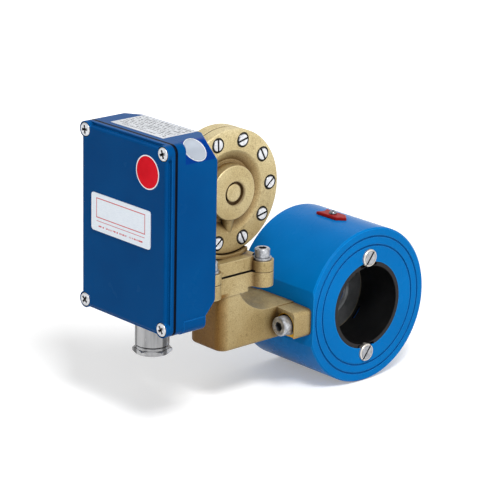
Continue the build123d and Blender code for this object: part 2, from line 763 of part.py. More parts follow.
# Front cover of the diaphragm housing with its raised hub, button and channel ridge
with BuildPart() as diaphragm_cover:
    with BuildSketch(at_y(disc_y)):
        with BuildLine():
            Polyline(
                (half_membrane, disc_z),
                (half_membrane, disc_z + disc_r),
                (ring_thickness - rim_edge, disc_z + disc_r),
                (ring_thickness, disc_z + disc_r - rim_edge),
                (ring_thickness, disc_z + ring_inner_r),
                (floor_x, disc_z + floor_outer_r),
                (floor_x, disc_z + hub_r + 0.3),
                (hub_face_x - hub_edge, disc_z + hub_r),
                (hub_face_x, disc_z + hub_r - hub_edge),
                (hub_face_x, disc_z),
                close=True,
            )
        make_face()
    revolve(axis=disc_axis)
    # Recess in the hub with a round button, nearer to one side of it
    with BuildSketch(at_x(hub_face_x)):
        with Locations((disc_y + button_recess_shift_y, disc_z + button_recess_shift_z)):
            Circle(button_recess_r)
    extrude(amount=-button_recess_depth, mode=Mode.SUBTRACT)
    rim_corner = diaphragm_cover.edges().filter_by(GeomType.CIRCLE)
    rim_corner = rim_corner.filter_by(lambda edge: abs(edge.radius - button_recess_r) < 0.01)
    chamfer(rim_corner.group_by(Axis.X)[-1], 0.4)
    with BuildSketch(at_y(disc_y)):
        top_x = hub_face_x + button_rise
        with BuildLine():
            Polyline(
                (hub_face_x - button_recess_depth, disc_z),
                (hub_face_x - button_recess_depth, disc_z + button_r),
                (top_x - button_edge, disc_z + button_r),
                (top_x - 0.3 * button_edge, disc_z + button_r - 0.3 * button_edge),
                (top_x, disc_z + button_r - button_edge),
                (top_x, disc_z),
                close=True,
            )
        make_face()
    revolve(axis=disc_axis)
    # Ridge over the channel, from the hub down to the ring
    ridge_axis_x = ring_thickness - ridge_end_d / 2
    with BuildSketch(Plane((ridge_axis_x - 0.6, disc_y, disc_z - ridge_top_r))):
        Circle(ridge_start_d / 2)
    with BuildSketch(Plane((ridge_axis_x, disc_y, disc_z - ridge_end_r))):
        Circle(ridge_end_d / 2)
    loft()
    # Pressure chamber and spring pocket
    with BuildSketch(at_y(disc_y)):
        with BuildLine():
            Polyline(
                (-4, disc_z),
                (-4, disc_z + chamber_r),
                (chamber_depth, disc_z + chamber_r),
                (chamber_depth + 0.3, disc_z + front_pocket_r + 0.5),
                (front_pocket_x, disc_z + front_pocket_r),
                (front_pocket_x, disc_z),
                close=True,
            )
        make_face()
    revolve(axis=disc_axis, mode=Mode.SUBTRACT)
    # Flat joint face against the membrane
    with BuildSketch(at_x(half_membrane)):
        with Locations((disc_y, disc_z)):
            Circle(2 * disc_r)
    extrude(amount=-20, mode=Mode.SUBTRACT)
    # Counterbored holes for the rim screws
    with BuildSketch(at_x(0)):
        with Locations((disc_y, disc_z)):
            with PolarLocations(rim_screw_pcd / 2, rim_screw_count, rim_screw_start):
                Circle(rim_screw_d / 2 + hole_gap)
    extrude(amount=ring_thickness, mode=Mode.SUBTRACT)
    with BuildSketch(at_x(ring_thickness)):
        with Locations((disc_y, disc_z)):
            with PolarLocations(rim_screw_pcd / 2, rim_screw_count, rim_screw_start):
                Circle(rim_counterbore_d / 2)
    extrude(amount=-rim_counterbore_depth, mode=Mode.SUBTRACT)
    # Slot that brings the high pressure into the chamber
    slot_low_z = cross_port_z - channel_d / 2
    slot_top_z = disc_z - chamber_r + 2.0
    with BuildSketch(at_x(0)):
        with Locations((high_channel_y, (slot_low_z + slot_top_z) / 2)):
            Rectangle(channel_d, slot_top_z - slot_low_z)
    extrude(amount=port_slot_depth, mode=Mode.SUBTRACT)
diaphragm_cover.part.label = "diaphragm_cover"

# Thin membrane clamped between the two halves
with BuildPart() as diaphragm:
    with BuildSketch(at_x(-half_membrane)):
        with Locations((disc_y, disc_z)):
            Circle(disc_r - 0.5)
            Circle(stem_d / 2 + slide_gap, mode=Mode.SUBTRACT)
            with PolarLocations(rim_screw_pcd / 2, rim_screw_count, rim_screw_start):
                Circle(rim_screw_d / 2 + hole_gap, mode=Mode.SUBTRACT)
        with Locations((high_channel_y, cross_port_z)):
            Circle(channel_d / 2, mode=Mode.SUBTRACT)
    extrude(amount=diaphragm_thickness)
diaphragm.part.label = "diaphragm"

# Two stiff plates on either side of the membrane
with BuildPart() as diaphragm_plates:
    with BuildSketch(at_x(half_membrane), at_x(-plate_face_x)):
        with Locations((disc_y, disc_z)):
            Circle(diaphragm_plate_r)
            Circle(stem_d / 2 + running_gap, mode=Mode.SUBTRACT)
    extrude(amount=diaphragm_plate_thickness)
diaphragm_plates.part.label = "diaphragm_plates"

# Stem: head in front, shoulder behind, a neck for the lever eye and an end collar
with BuildPart() as stem:
    eye_half = lever_eye_thickness / 2 + lever_eye_gap
    stem_end_x = lever_x - eye_half - 2.0
    with BuildSketch(at_y(disc_y)):
        with BuildLine():
            Polyline(
                (plate_face_x + 1.6, disc_z),
                (plate_face_x + 1.6, disc_z + 2.6),
                (plate_face_x + 1.0, disc_z + 3.2),
                (plate_face_x, disc_z + 3.2),
                (plate_face_x, disc_z + stem_d / 2),
                (-plate_face_x, disc_z + stem_d / 2),
                (-plate_face_x, disc_z + stem_shoulder_d / 2),
                (lever_x + eye_half, disc_z + stem_shoulder_d / 2),
                (lever_x + eye_half, disc_z + stem_d / 2),
                (lever_x - eye_half, disc_z + stem_d / 2),
                (lever_x - eye_half, disc_z + stem_shoulder_d / 2),
                (stem_end_x, disc_z + stem_shoulder_d / 2),
                (stem_end_x, disc_z),
                close=True,
            )
        make_face()
    revolve(axis=disc_axis)
stem.part.label = "stem"

# Range spring between the front plate and the hub
with BuildPart() as range_spring:
    spring_start_x = plate_face_x + spring_wire_d / 2
    spring_height = front_pocket_x - spring_wire_d / 2 - spring_start_x
    with BuildLine() as coil:
        Helix(
            pitch=spring_height / spring_turns,
            height=spring_height,
            radius=spring_mean_r,
            center=(spring_start_x, disc_y, disc_z),
            direction=(1, 0, 0),
        )
    with BuildSketch(Plane(origin=coil.line @ 0, z_dir=coil.line % 0)):
        Circle(spring_wire_d / 2)
    sweep()
range_spring.part.label = "range_spring"

# Lever from the stem through the neck into the enclosure
with BuildPart() as lever:
    with BuildSketch(at_x(lever_x - lever_eye_thickness / 2)):
        with Locations((disc_y, disc_z)):
            Circle(lever_eye_d / 2)
            Circle(stem_d / 2 + lever_end_gap, mode=Mode.SUBTRACT)
    extrude(amount=lever_eye_thickness)
    rod_start_y = disc_y - lever_eye_d / 2 + 0.3
    with BuildSketch(at_y(rod_start_y)):
        with Locations((lever_x, disc_z)):
            Circle(lever_d / 2)
    extrude(amount=rod_start_y - lever_tip_y)
    with BuildSketch(Plane((lever_x, lever_pivot_y, disc_z - lever_boss_height / 2))):
        Circle(lever_boss_d / 2)
    extrude(amount=lever_boss_height)
    with BuildSketch(Plane((lever_x, lever_pivot_y, disc_z - lever_boss_height / 2))):
        Circle(pivot_d / 2 + running_gap)
    extrude(amount=lever_boss_height, mode=Mode.SUBTRACT)
lever.part.label = "lever"

with BuildPart() as lever_pin:
    with BuildSketch(Plane((lever_x, lever_pivot_y, disc_z - neck_half_z + 0.5))):
        Circle(pivot_d / 2)
    extrude(amount=2 * neck_half_z - 1.0)
lever_pin.part.label = "lever_pin"

# Rubber ring that seals the lever in its tunnel
with BuildPart() as lever_seal:
    seal_start_y = lever_pivot_y + lever_boss_d / 2 + lever_end_gap + lever_seal_thickness
    with BuildSketch(at_y(seal_start_y)):
        with Locations((lever_x, disc_z)):
            Circle(tunnel_r)
            Circle(lever_d / 2 + 0.5, mode=Mode.SUBTRACT)
    extrude(amount=lever_seal_thickness)
lever_seal.part.label = "lever_seal"

# Magnet on the tip of the lever
with BuildPart() as magnet:
    with BuildSketch(at_y(lever_tip_y)):
        with Locations((lever_x, disc_z)):
            Circle(magnet_d / 2)
    extrude(amount=magnet_length)
    chamfer(magnet.edges().filter_by(GeomType.CIRCLE), 0.3)
magnet.part.label = "magnet"

# Slotted cheese head screws round the diaphragm housing
with BuildPart() as rim_screws:
    with BuildSketch(at_x(rim_head_x)):
        with Locations((disc_y, disc_z)):
            with PolarLocations(rim_screw_pcd / 2, rim_screw_count, rim_screw_start):
                Circle(rim_head_d / 2)
    extrude(amount=rim_head_height)
    chamfer(rim_screws.edges().filter_by(GeomType.CIRCLE).group_by(Axis.X)[-1], 0.5)
    with BuildSketch(at_x(rim_head_x)):
        with Locations((disc_y, disc_z)):
            with PolarLocations(rim_screw_pcd / 2, rim_screw_count, rim_screw_start):
                Circle(rim_screw_d / 2)
    extrude(amount=-rim_screw_length)
    # Each slot stands as its screw was left when it was tightened
    with BuildSketch(at_x(rim_head_x + rim_head_height)):
        for number in range(rim_screw_count):
            angle = math.radians(rim_screw_start + number * 360.0 / rim_screw_count)
            slot_y = disc_y + rim_screw_pcd / 2 * math.cos(angle)
            slot_z = disc_z + rim_screw_pcd / 2 * math.sin(angle)
            with Locations((slot_y, slot_z)):
                Rectangle(rim_head_d, slot_width, rotation=40 + 77 * number)
    extrude(amount=-slot_depth, mode=Mode.SUBTRACT)
rim_screws.part.label = "rim_screws"

# Socket head screws and washers of the flange joint
with BuildPart() as flange_screws:
    flange_head_z = ear_seat_z + washer_thickness
    with BuildSketch(Plane((0, joint_y, flange_head_z))):
        with GridLocations(ear_pitch_x, ear_pitch_y, 2, 2):
            Circle(m6_head_d / 2)
    extrude(amount=m6_head_height)
    chamfer(flange_screws.edges().filter_by(GeomType.CIRCLE).group_by(Axis.Z)[-1], head_edge)
    with BuildSketch(Plane((0, joint_y, flange_head_z))):
        with GridLocations(ear_pitch_x, ear_pitch_y, 2, 2):
            Circle(m6_d / 2)
    extrude(amount=-m6_length)
    with BuildSketch(Plane((0, joint_y, flange_head_z + m6_head_height))):
        with GridLocations(ear_pitch_x, ear_pitch_y, 2, 2):
            RegularPolygon(m6_socket / 2, 6, major_radius=False)
    extrude(amount=-m6_head_height / 2, mode=Mode.SUBTRACT)
flange_screws.part.label = "flange_screws"

with BuildPart() as flange_washers:
    with BuildSketch(Plane((0, joint_y, ear_seat_z))):
        with GridLocations(ear_pitch_x, ear_pitch_y, 2, 2):
            Circle(m6_washer_d / 2)
            Circle(m6_d / 2 + hole_gap, mode=Mode.SUBTRACT)
    extrude(amount=washer_thickness)
flange_washers.part.label = "flange_washers"

# Gasket between the neck and the enclosure
with BuildPart() as neck_gasket:
    with BuildSketch(at_y(neck_face_y)):
        with Locations((lever_x, disc_z)):
            RectangleRounded(2 * neck_half_x, 2 * neck_half_z, neck_corner_r)
            Circle(tunnel_r, mode=Mode.SUBTRACT)
            with GridLocations(2 * neck_screw_x, 2 * neck_screw_z, 2, 2):
                Circle(neck_screw_d / 2 + hole_gap, mode=Mode.SUBTRACT)
    extrude(amount=neck_gasket_thickness)
neck_gasket.part.label = "neck_gasket"

# Enclosure body: a deep die-cast tray with corner bosses and board posts
with BuildPart() as enclosure_body:
    with BuildSketch(at_y(box_back_y)):
        with Locations((0, box_z)):
            RectangleRounded(2 * box_half_x, 2 * box_half_z, box_corner_r)
    extrude(amount=box_back_y - box_seam_y)
    fillet(enclosure_body.edges().group_by(Axis.Y)[-1], back_edge_r)
    # Slanted reliefs at the two upper back corners
    box_top_z = box_z + box_half_z
    for side in (-1, 1):
        relief_normal = (side / top_relief_x, 1 / top_relief_y, 1 / top_relief_z)
        relief_point = (side * (box_half_x - top_relief_x), box_back_y, box_top_z)
        split(bisect_by=Plane(relief_point, z_dir=relief_normal), keep=Keep.BOTTOM)
    # Stepped reliefs at the two lower back corners
    for side in (-1, 1):
        with BuildSketch(at_x(side * (box_half_x - bottom_relief_x))):
            with BuildLine():
                Polyline(
                    (box_back_y + 1.0, box_bottom_z - 1.0),
                    (box_back_y - bottom_relief_y, box_bottom_z - 1.0),
                    (box_back_y - bottom_relief_y, box_bottom_z + bottom_relief_z),
                    (box_back_y, box_bottom_z + bottom_relief_z + bottom_relief_slope_z),
                    (box_back_y + 1.0, box_bottom_z + bottom_relief_z + bottom_relief_slope_z),
                    close=True,
                )
            make_face()
        extrude(amount=side * (bottom_relief_x + 1.0), mode=Mode.SUBTRACT)
    # Raised pad low on the side that faces downstream
    with BuildSketch(at_y(side_pad_end_y)):
        with Locations((0, box_z)):
            pad_x = 2 * (box_half_x + side_pad_height)
            pad_z = 2 * (box_half_z + side_pad_height)
            RectangleRounded(pad_x, pad_z, box_corner_r + side_pad_height)
        with Locations((box_half_x, box_bottom_z)):
            Rectangle(side_pad_wrap, 2 * side_pad_z, mode=Mode.INTERSECT)
    extrude(amount=side_pad_end_y - side_pad_start_y)
    # Inside, clear of the corner bosses and of the reliefs
    with BuildSketch(at_y(inner_back_y)):
        inner_x = box_half_x - box_wall
        inner_top = box_top_z - box_wall
        inner_bottom = box_bottom_z + box_wall
        with BuildLine():
            Polyline(
                (-inner_x + inner_bottom_cut_x, inner_bottom),
                (inner_x - inner_bottom_cut_x, inner_bottom),
                (inner_x - inner_bottom_cut_x, inner_bottom + inner_bottom_cut_z),
                (inner_x, inner_bottom + inner_bottom_cut_z),
                (inner_x, inner_top - inner_top_cut),
                (inner_x - inner_top_cut, inner_top),
                (-inner_x + inner_top_cut, inner_top),
                (-inner_x, inner_top - inner_top_cut),
                (-inner_x, inner_bottom + inner_bottom_cut_z),
                (-inner_x + inner_bottom_cut_x, inner_bottom + inner_bottom_cut_z),
                close=True,
            )
        make_face()
    extrude(amount=inner_back_y - box_seam_y, mode=Mode.SUBTRACT)
    # Posts of the circuit board
    with BuildSketch(at_y(inner_back_y)):
        with Locations((0, board_mid_z)):
            with GridLocations(2 * board_post_x, 2 * board_post_z, 2, 2):
                Circle(board_post_d / 2)
    extrude(amount=inner_back_y - board_y)
    with BuildSketch(at_y(board_y)):
        with Locations((0, board_mid_z)):
            with GridLocations(2 * board_post_x, 2 * board_post_z, 2, 2):
                Circle(board_screw_d / 2 + thread_gap)
    extrude(amount=-board_thread_depth, mode=Mode.SUBTRACT)
    # Tapped holes of the cover screws
    with BuildSketch(at_y(box_seam_y)):
        with Locations((0, box_z)):
            with GridLocations(2 * cover_screw_x, 2 * cover_screw_z, 2, 2):
                Circle(cover_screw_d / 2 + thread_gap)
    extrude(amount=-cover_thread_depth, mode=Mode.SUBTRACT)
    # Holes for the lever and the neck screws in the back wall
    with BuildSketch(at_y(box_back_y)):
        with Locations((lever_x, disc_z)):
            Circle(tunnel_r)
            with GridLocations(2 * neck_screw_x, 2 * neck_screw_z, 2, 2):
                Circle(neck_screw_d / 2 + hole_gap)
    extrude(amount=box_wall, mode=Mode.SUBTRACT)
    # Hole for the cable gland
    with BuildSketch(Plane((0, gland_y, box_bottom_z))):
        Circle(gland_thread_d / 2 + wall_hole_gap)
    extrude(amount=box_wall, mode=Mode.SUBTRACT)
enclosure_body.part.label = "enclosure_body"

# Screws that hold the enclosure to the neck
with BuildPart() as neck_screws:
    with BuildSketch(at_y(inner_back_y)):
        with Locations((lever_x, disc_z)):
            with GridLocations(2 * neck_screw_x, 2 * neck_screw_z, 2, 2):
                Circle(neck_head_d / 2)
    extrude(amount=neck_head_height)
    with BuildSketch(at_y(inner_back_y)):
        with Locations((lever_x, disc_z)):
            with GridLocations(2 * neck_screw_x, 2 * neck_screw_z, 2, 2):
                Circle(neck_screw_d / 2)
    extrude(amount=-neck_screw_length)
    with BuildSketch(at_y(inner_back_y - neck_head_height)):
        with Locations((lever_x, disc_z)):
            with GridLocations(2 * neck_screw_x, 2 * neck_screw_z, 2, 2):
                Rectangle(neck_head_d, slot_width, rotation=30)
    extrude(amount=-slot_depth, mode=Mode.SUBTRACT)
neck_screws.part.label = "neck_screws"

# Gasket in the seam of the enclosure
with BuildPart() as cover_gasket:
    with BuildSketch(at_y(box_seam_y)):
        with Locations((0, box_z)):
            gasket_x = 2 * (box_half_x - cover_gasket_inset)
            gasket_z = 2 * (box_half_z - cover_gasket_inset)
            gasket_r = box_corner_r - cover_gasket_inset
            RectangleRounded(gasket_x, gasket_z, gasket_r)
            RectangleRounded(
                gasket_x - 2 * cover_gasket_width,
                gasket_z - 2 * cover_gasket_width,
                gasket_r - cover_gasket_width,
                mode=Mode.SUBTRACT,
            )
    extrude(amount=cover_gasket_thickness)
cover_gasket.part.label = "cover_gasket"

# Cover: a thin rim, a raised plateau with a rounded edge and a round ear at each corner
with BuildPart() as enclosure_cover:
    plateau_x = 2 * (box_half_x - plateau_inset)
    plateau_z = 2 * (box_half_z - plateau_inset)
    with BuildSketch(at_y(cover_rim_y)):
        with Locations((0, box_z)):
            Rectangle(plateau_x, plateau_z)
    extrude(amount=cover_rim_y - cover_front_y)
    fillet(enclosure_cover.edges().group_by(Axis.Y)[0], plateau_edge)
    with BuildSketch(at_y(gasket_face_y)):
        with Locations((0, box_z)):
            RectangleRounded(2 * box_half_x, 2 * box_half_z, box_corner_r)
    extrude(amount=gasket_face_y - cover_rim_y)
    with BuildSketch(at_y(cover_rim_y)):
        with Locations((0, box_z)):
            with GridLocations(2 * cover_screw_x, 2 * cover_screw_z, 2, 2):
                Circle(box_corner_r)
    extrude(amount=cover_rim_y - cover_front_y)
    # Hollow behind the plateau, clear of the screw bosses
    with BuildSketch(at_y(gasket_face_y)):
        with Locations((0, box_z)):
            Rectangle(plateau_x - 2 * cover_wall, plateau_z - 2 * cover_wall)
            with GridLocations(2 * cover_screw_x, 2 * cover_screw_z, 2, 2):
                Circle(cover_boss_r, mode=Mode.SUBTRACT)
    extrude(amount=gasket_face_y - cover_front_y - cover_wall, mode=Mode.SUBTRACT)
    with BuildSketch(at_y(gasket_face_y)):
        with Locations((0, box_z)):
            with GridLocations(2 * cover_screw_x, 2 * cover_screw_z, 2, 2):
                Circle(cover_screw_d / 2 + hole_gap)
    extrude(amount=gasket_face_y - cover_front_y, mode=Mode.SUBTRACT)
    with BuildSketch(at_y(cover_head_y)):
        with Locations((0, box_z)):
            with GridLocations(2 * cover_screw_x, 2 * cover_screw_z, 2, 2):
                Circle(cover_counterbore_d / 2)
    extrude(amount=cover_head_y - cover_front_y, mode=Mode.SUBTRACT)
enclosure_cover.part.label = "enclosure_cover"

# Cross recessed pan head screws of the cover
with BuildPart() as cover_screws:
    with BuildSketch(at_y(cover_head_y)):
        with Locations((0, box_z)):
            with GridLocations(2 * cover_screw_x, 2 * cover_screw_z, 2, 2):
                Circle(cover_head_d / 2)
    extrude(amount=cover_head_height)
    fillet(cover_screws.edges().filter_by(GeomType.CIRCLE).group_by(Axis.Y)[0], 0.9)
    with BuildSketch(at_y(cover_head_y)):
        with Locations((0, box_z)):
            with GridLocations(2 * cover_screw_x, 2 * cover_screw_z, 2, 2):
                Circle(cover_screw_d / 2)
    extrude(amount=-cover_screw_length)
    with BuildSketch(at_y(cover_head_y - cover_head_height)):
        for side_x, side_z, turn in ((-1, 1, 8), (1, 1, 20), (-1, -1, 50), (1, -1, 35)):
            with Locations((side_x * cover_screw_x, box_z + side_z * cover_screw_z)):
                Rectangle(cross_length, cross_width, rotation=turn)
                Rectangle(cross_width, cross_length, rotation=turn)
    extrude(amount=-cross_depth, mode=Mode.SUBTRACT)
cover_screws.part.label = "cover_screws"

with BuildPart() as nameplate:
    with BuildSketch(at_y(cover_front_y)):
        with Locations((nameplate_x, nameplate_z)):
            RectangleRounded(nameplate_width, nameplate_height, nameplate_corner_r)
    extrude(amount=nameplate_thickness)
nameplate.part.label = "nameplate"

# Cable gland: body with thread and sleeve, rubber bush, sealing ring, cap nut and lock nut
with BuildPart() as gland_body:
    with BuildSketch(Plane((0, gland_y, sleeve_end_z))):
        Circle(gland_sleeve_d / 2)
    extrude(amount=gland_sleeve_length)
    with BuildSketch(Plane((0, gland_y, box_bottom_z))):
        Circle(gland_thread_d / 2)
    extrude(amount=gland_inner_thread)
    with BuildSketch(Plane((0, gland_y, sleeve_end_z - gland_neck_length))):
        Circle(gland_neck_d / 2)
    extrude(amount=gland_neck_length)
    with BuildSketch(Plane((0, gland_y, sleeve_end_z - gland_neck_length))):
        Circle(gland_bore_d / 2)
    extrude(amount=gland_neck_length + gland_sleeve_length + gland_inner_thread, mode=Mode.SUBTRACT)
gland_body.part.label = "gland_body"

with BuildPart() as gland_seal:
    with BuildSketch(Plane((0, gland_y, sleeve_end_z - gland_neck_length))):
        Circle(gland_bore_d / 2)
        Circle(gland_seal_bore_d / 2, mode=Mode.SUBTRACT)
    extrude(amount=gland_seal_length)
gland_seal.part.label = "gland_seal"

with BuildPart() as gland_ring:
    with BuildSketch(Plane((0, gland_y, gland_collar_z))):
        Circle(gland_ring_d / 2)
        Circle(gland_neck_d / 2 + running_gap, mode=Mode.SUBTRACT)
    extrude(amount=gland_ring_height)
gland_ring.part.label = "gland_ring"

with BuildPart() as gland_nut:
    with BuildSketch(Plane((0, gland_y, gland_nut_z - gland_nut_height))):
        RegularPolygon(gland_nut_flats / 2, 6, major_radius=False, rotation=gland_nut_turn)
    extrude(amount=gland_nut_height)
    # Round off the corners above and below
    with BuildSketch(at_y(gland_y)):
        corner_r = gland_nut_flats / math.sqrt(3)
        with BuildLine():
            Polyline(
                (0, gland_nut_z - gland_nut_height),
                (corner_r - 2 * gland_nut_edge, gland_nut_z - gland_nut_height),
                (corner_r, gland_nut_z - gland_nut_height + gland_nut_edge),
                (corner_r, gland_nut_z - gland_nut_edge),
                (corner_r - 2 * gland_nut_edge, gland_nut_z),
                (0, gland_nut_z),
                close=True,
            )
        make_face()
    revolve(axis=Axis((0, gland_y, 0), (0, 0, 1)), mode=Mode.INTERSECT)
    # Round collar above the hexagon
    with BuildSketch(Plane((0, gland_y, gland_nut_z))):
        Circle(gland_collar_d / 2)
    extrude(amount=gland_collar_height)
    chamfer(gland_nut.edges().group_by(Axis.Z)[-1], 0.5)
    with BuildSketch(Plane((0, gland_y, gland_collar_z))):
        Circle(gland_neck_d / 2 + running_gap)
    extrude(amount=-(gland_neck_length - gland_ring_height), mode=Mode.SUBTRACT)
    with BuildSketch(Plane((0, gland_y, gland_nut_z))):
        Circle(gland_mouth_d / 2)
    extrude(amount=-gland_nut_height, mode=Mode.SUBTRACT)
gland_nut.part.label = "gland_nut"

with BuildPart() as gland_locknut:
    with BuildSketch(Plane((0, gland_y, box_bottom_z + box_wall))):
        RegularPolygon(locknut_flats / 2, 6, major_radius=False)
        Circle(gland_thread_d / 2 + running_gap, mode=Mode.SUBTRACT)
    extrude(amount=locknut_height)
gland_locknut.part.label = "gland_locknut"

# Transmitter board with its parts
with BuildPart() as transmitter_board:
    with BuildSketch(at_y(board_y)):
        with Locations((0, board_mid_z)):
            RectangleRounded(2 * board_half_x, board_height, 2.0)
            with GridLocations(2 * board_post_x, 2 * board_post_z, 2, 2):
                Circle(board_screw_d / 2 + hole_gap, mode=Mode.SUBTRACT)
    extrude(amount=board_thickness)
transmitter_board.part.label = "transmitter_board"

with BuildPart() as board_screws:
    with BuildSketch(at_y(board_front_y)):
        with Locations((0, board_mid_z)):
            with GridLocations(2 * board_post_x, 2 * board_post_z, 2, 2):
                Circle(board_head_d / 2)
    extrude(amount=board_head_height)
    with BuildSketch(at_y(board_front_y)):
        with Locations((0, board_mid_z)):
            with GridLocations(2 * board_post_x, 2 * board_post_z, 2, 2):
                Circle(board_screw_d / 2)
    extrude(amount=-board_screw_length)
    with BuildSketch(at_y(board_front_y - board_head_height)):
        with Locations((0, board_mid_z)):
            with GridLocations(2 * board_post_x, 2 * board_post_z, 2, 2):
                Rectangle(board_head_d, 0.8, rotation=70)
    extrude(amount=-0.8, mode=Mode.SUBTRACT)
board_screws.part.label = "board_screws"

# Row of terminals for the cable
with BuildPart() as terminal_block:
    with BuildSketch(at_y(board_front_y)):
        with Locations((0, terminal_z)):
            Rectangle(terminal_count * terminal_pitch, terminal_height)
    extrude(amount=terminal_depth)
    with BuildSketch(at_y(board_front_y - terminal_depth)):
        with Locations((0, terminal_z)):
            with GridLocations(terminal_pitch, 1, terminal_count, 1):
                Circle(1.5)
    extrude(amount=-3.0, mode=Mode.SUBTRACT)
    with BuildSketch(Plane((0, board_front_y - terminal_depth / 2, terminal_z - terminal_height / 2))):
        with GridLocations(terminal_pitch, 1, terminal_count, 1):
            Rectangle(3.0, 3.0)
    extrude(amount=5.0, mode=Mode.SUBTRACT)
terminal_block.part.label = "terminal_block"

# Soldered components: two capacitors, a controller and two trimmers
with BuildPart() as board_components:
    with BuildSketch(at_y(board_front_y)):
        with Locations((-board_half_x + 13.0, terminal_z + 16.0), (-board_half_x + 25.0, terminal_z + 16.0)):
            Circle(capacitor_d / 2)
    extrude(amount=capacitor_height)
    with BuildSketch(at_y(board_front_y)):
        with Locations((lever_x + 19.5, board_mid_z + 2.5)):
            Rectangle(chip_size, chip_size)
    extrude(amount=chip_thickness)
    with BuildSketch(at_y(board_front_y)):
        with Locations((board_half_x - 13.0, board_top_z - 15.0), (board_half_x - 13.0, board_top_z - 29.0)):
            Rectangle(trimmer_size, trimmer_size)
    extrude(amount=trimmer_height)
board_components.part.label = "board_components"

# Field sensor on the back of the board, facing the magnet
with BuildPart() as sensor:
    with BuildSketch(at_y(board_y)):
        with Locations((lever_x, disc_z)):
            Rectangle(sensor_size, sensor_size)
    extrude(amount=-sensor_thickness)
sensor.part.label = "sensor"

parts_in_order = [
    pipe_section,
    orifice_plate,
    orifice_gasket,
    orifice_sleeve,
    retaining_screws,
    flow_arrow,
    arrow_screw,
    manifold,
    channel_seals,
    manifold_screws,
    manifold_washers,
    housing_base,
    diaphragm_cover,
    diaphragm,
    diaphragm_plates,
    stem,
    range_spring,
    lever,
    lever_pin,
    lever_seal,
    magnet,
    rim_screws,
    flange_screws,
    flange_washers,
    neck_gasket,
    neck_screws,
    enclosure_body,
    cover_gasket,
    enclosure_cover,
    cover_screws,
    nameplate,
    gland_body,
    gland_seal,
    gland_ring,
    gland_nut,
    gland_locknut,
    transmitter_board,
    board_screws,
    terminal_block,
    board_components,
    sensor,
]
for piece in parts_in_order:
    export_step(piece.part, "parts/" + piece.part.label + ".step")
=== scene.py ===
# Looks of the flow transmitter: finishes, thin labels, soft studio light and camera.
# Metres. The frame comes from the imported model.
import math

import bmesh
import bpy
from mathutils import Matrix, Vector


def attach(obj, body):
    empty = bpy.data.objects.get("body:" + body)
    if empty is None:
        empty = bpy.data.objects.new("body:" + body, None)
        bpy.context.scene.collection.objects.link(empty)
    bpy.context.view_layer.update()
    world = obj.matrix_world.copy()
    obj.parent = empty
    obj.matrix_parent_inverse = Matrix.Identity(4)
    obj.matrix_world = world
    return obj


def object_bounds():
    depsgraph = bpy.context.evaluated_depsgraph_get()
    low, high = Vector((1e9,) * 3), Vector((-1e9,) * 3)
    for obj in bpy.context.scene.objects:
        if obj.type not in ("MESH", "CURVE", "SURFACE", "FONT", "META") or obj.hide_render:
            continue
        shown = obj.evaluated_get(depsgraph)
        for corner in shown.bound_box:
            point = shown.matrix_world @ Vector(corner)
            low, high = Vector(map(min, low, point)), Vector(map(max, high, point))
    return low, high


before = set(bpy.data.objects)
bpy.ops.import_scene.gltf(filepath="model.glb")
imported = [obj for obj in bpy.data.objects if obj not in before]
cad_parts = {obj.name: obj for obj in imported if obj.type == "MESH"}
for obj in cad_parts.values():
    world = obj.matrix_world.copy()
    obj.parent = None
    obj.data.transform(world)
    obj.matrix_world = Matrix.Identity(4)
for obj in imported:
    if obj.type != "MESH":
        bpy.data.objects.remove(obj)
cad_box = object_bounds()
scene = bpy.context.scene

# The box: its side, top and rounded edge, the face and seam of its cover
BOX_SIDE_X = 0.0428
BOX_TOP_Z = 0.1408
BOX_EDGE_R = 0.0053
COVER_FACE_Y = -0.182
SEAM_BACK_Y = -0.1745
SEAM_FRONT_Y = -0.1767

# Round sticker on the cover
STICKER_X = 0.0233
STICKER_Z = 0.1212
STICKER_R = 0.0108
STICKER_RED_R = 0.0101
STICKER_THICKNESS = 0.00015

# Silver plate on the cover
PLATE_X = -0.0018
PLATE_Z = 0.0848
PLATE_FRAME_HALF_X = 0.0235
PLATE_FRAME_HALF_Z = 0.0062
PLATE_FRAME_RISE = 0.003

# White label on the top of the box, and the area of its print
LABEL_LEFT_X = -0.0263
LABEL_FRONT_Y = -0.171
LABEL_WIDTH = 0.0508
LABEL_DEPTH = 0.027
LABEL_THICKNESS = 0.00012
LABEL_STEPS_X = 12
LABEL_STEPS_Y = 8
PRINT_X = (-0.0245, 0.0228)
PRINT_Y = (-0.1695, -0.1455)
ROW_START_Y = -0.1715
ROW_PITCH = 0.0026

# Oval label at the edge of the box, and the clear film behind it
OVAL_Y = -0.1614
OVAL_Z = 0.1361
OVAL_LEAN = math.radians(144)
PRESS = Vector((-0.726, 0.635, -0.267))
FILM_EDGE_Y = -0.1682
FILM_PAINT_Y = (-0.1684, -0.145)
FILM_LOW_Z = 0.1277
FILM_SIDE_X = 0.036

# Diaphragm cover, round an axis along X
DISC_Y = -0.1008
DISC_Z = 0.0908
DISC_R = 0.0411
DISC_FRONT_X = 0.0083
HUB_R = 0.0182
BUTTON_R = 0.0061
SCREW_COUNT = 10
SCREW_RING_R = 0.0342
SCREW_START = math.radians(1)
COUNTERBORE_R = 0.0051
RIM_SCREW_R = 0.0038

# Flanges between the housing and the manifold
JOINT_Y = -0.1037
JOINT_Z = 0.0375
JOINT_RELIEF = 0.001
JOINT_HALF_X = 0.0112
JOINT_HALF_Y = 0.0152
EAR_LOW_Z = 0.0262
EAR_TOP_Z = 0.0535

# Pockets of the two bolts that hold the manifold to the pipe section
BOLT_X = 0.025
BOLT_Z = -0.0025
POCKET_R = 0.0081
POCKET_FLOOR_Y = -0.0612
POCKET_WALL_Y = -0.0655
POCKET_FRONT_Y = -0.0745

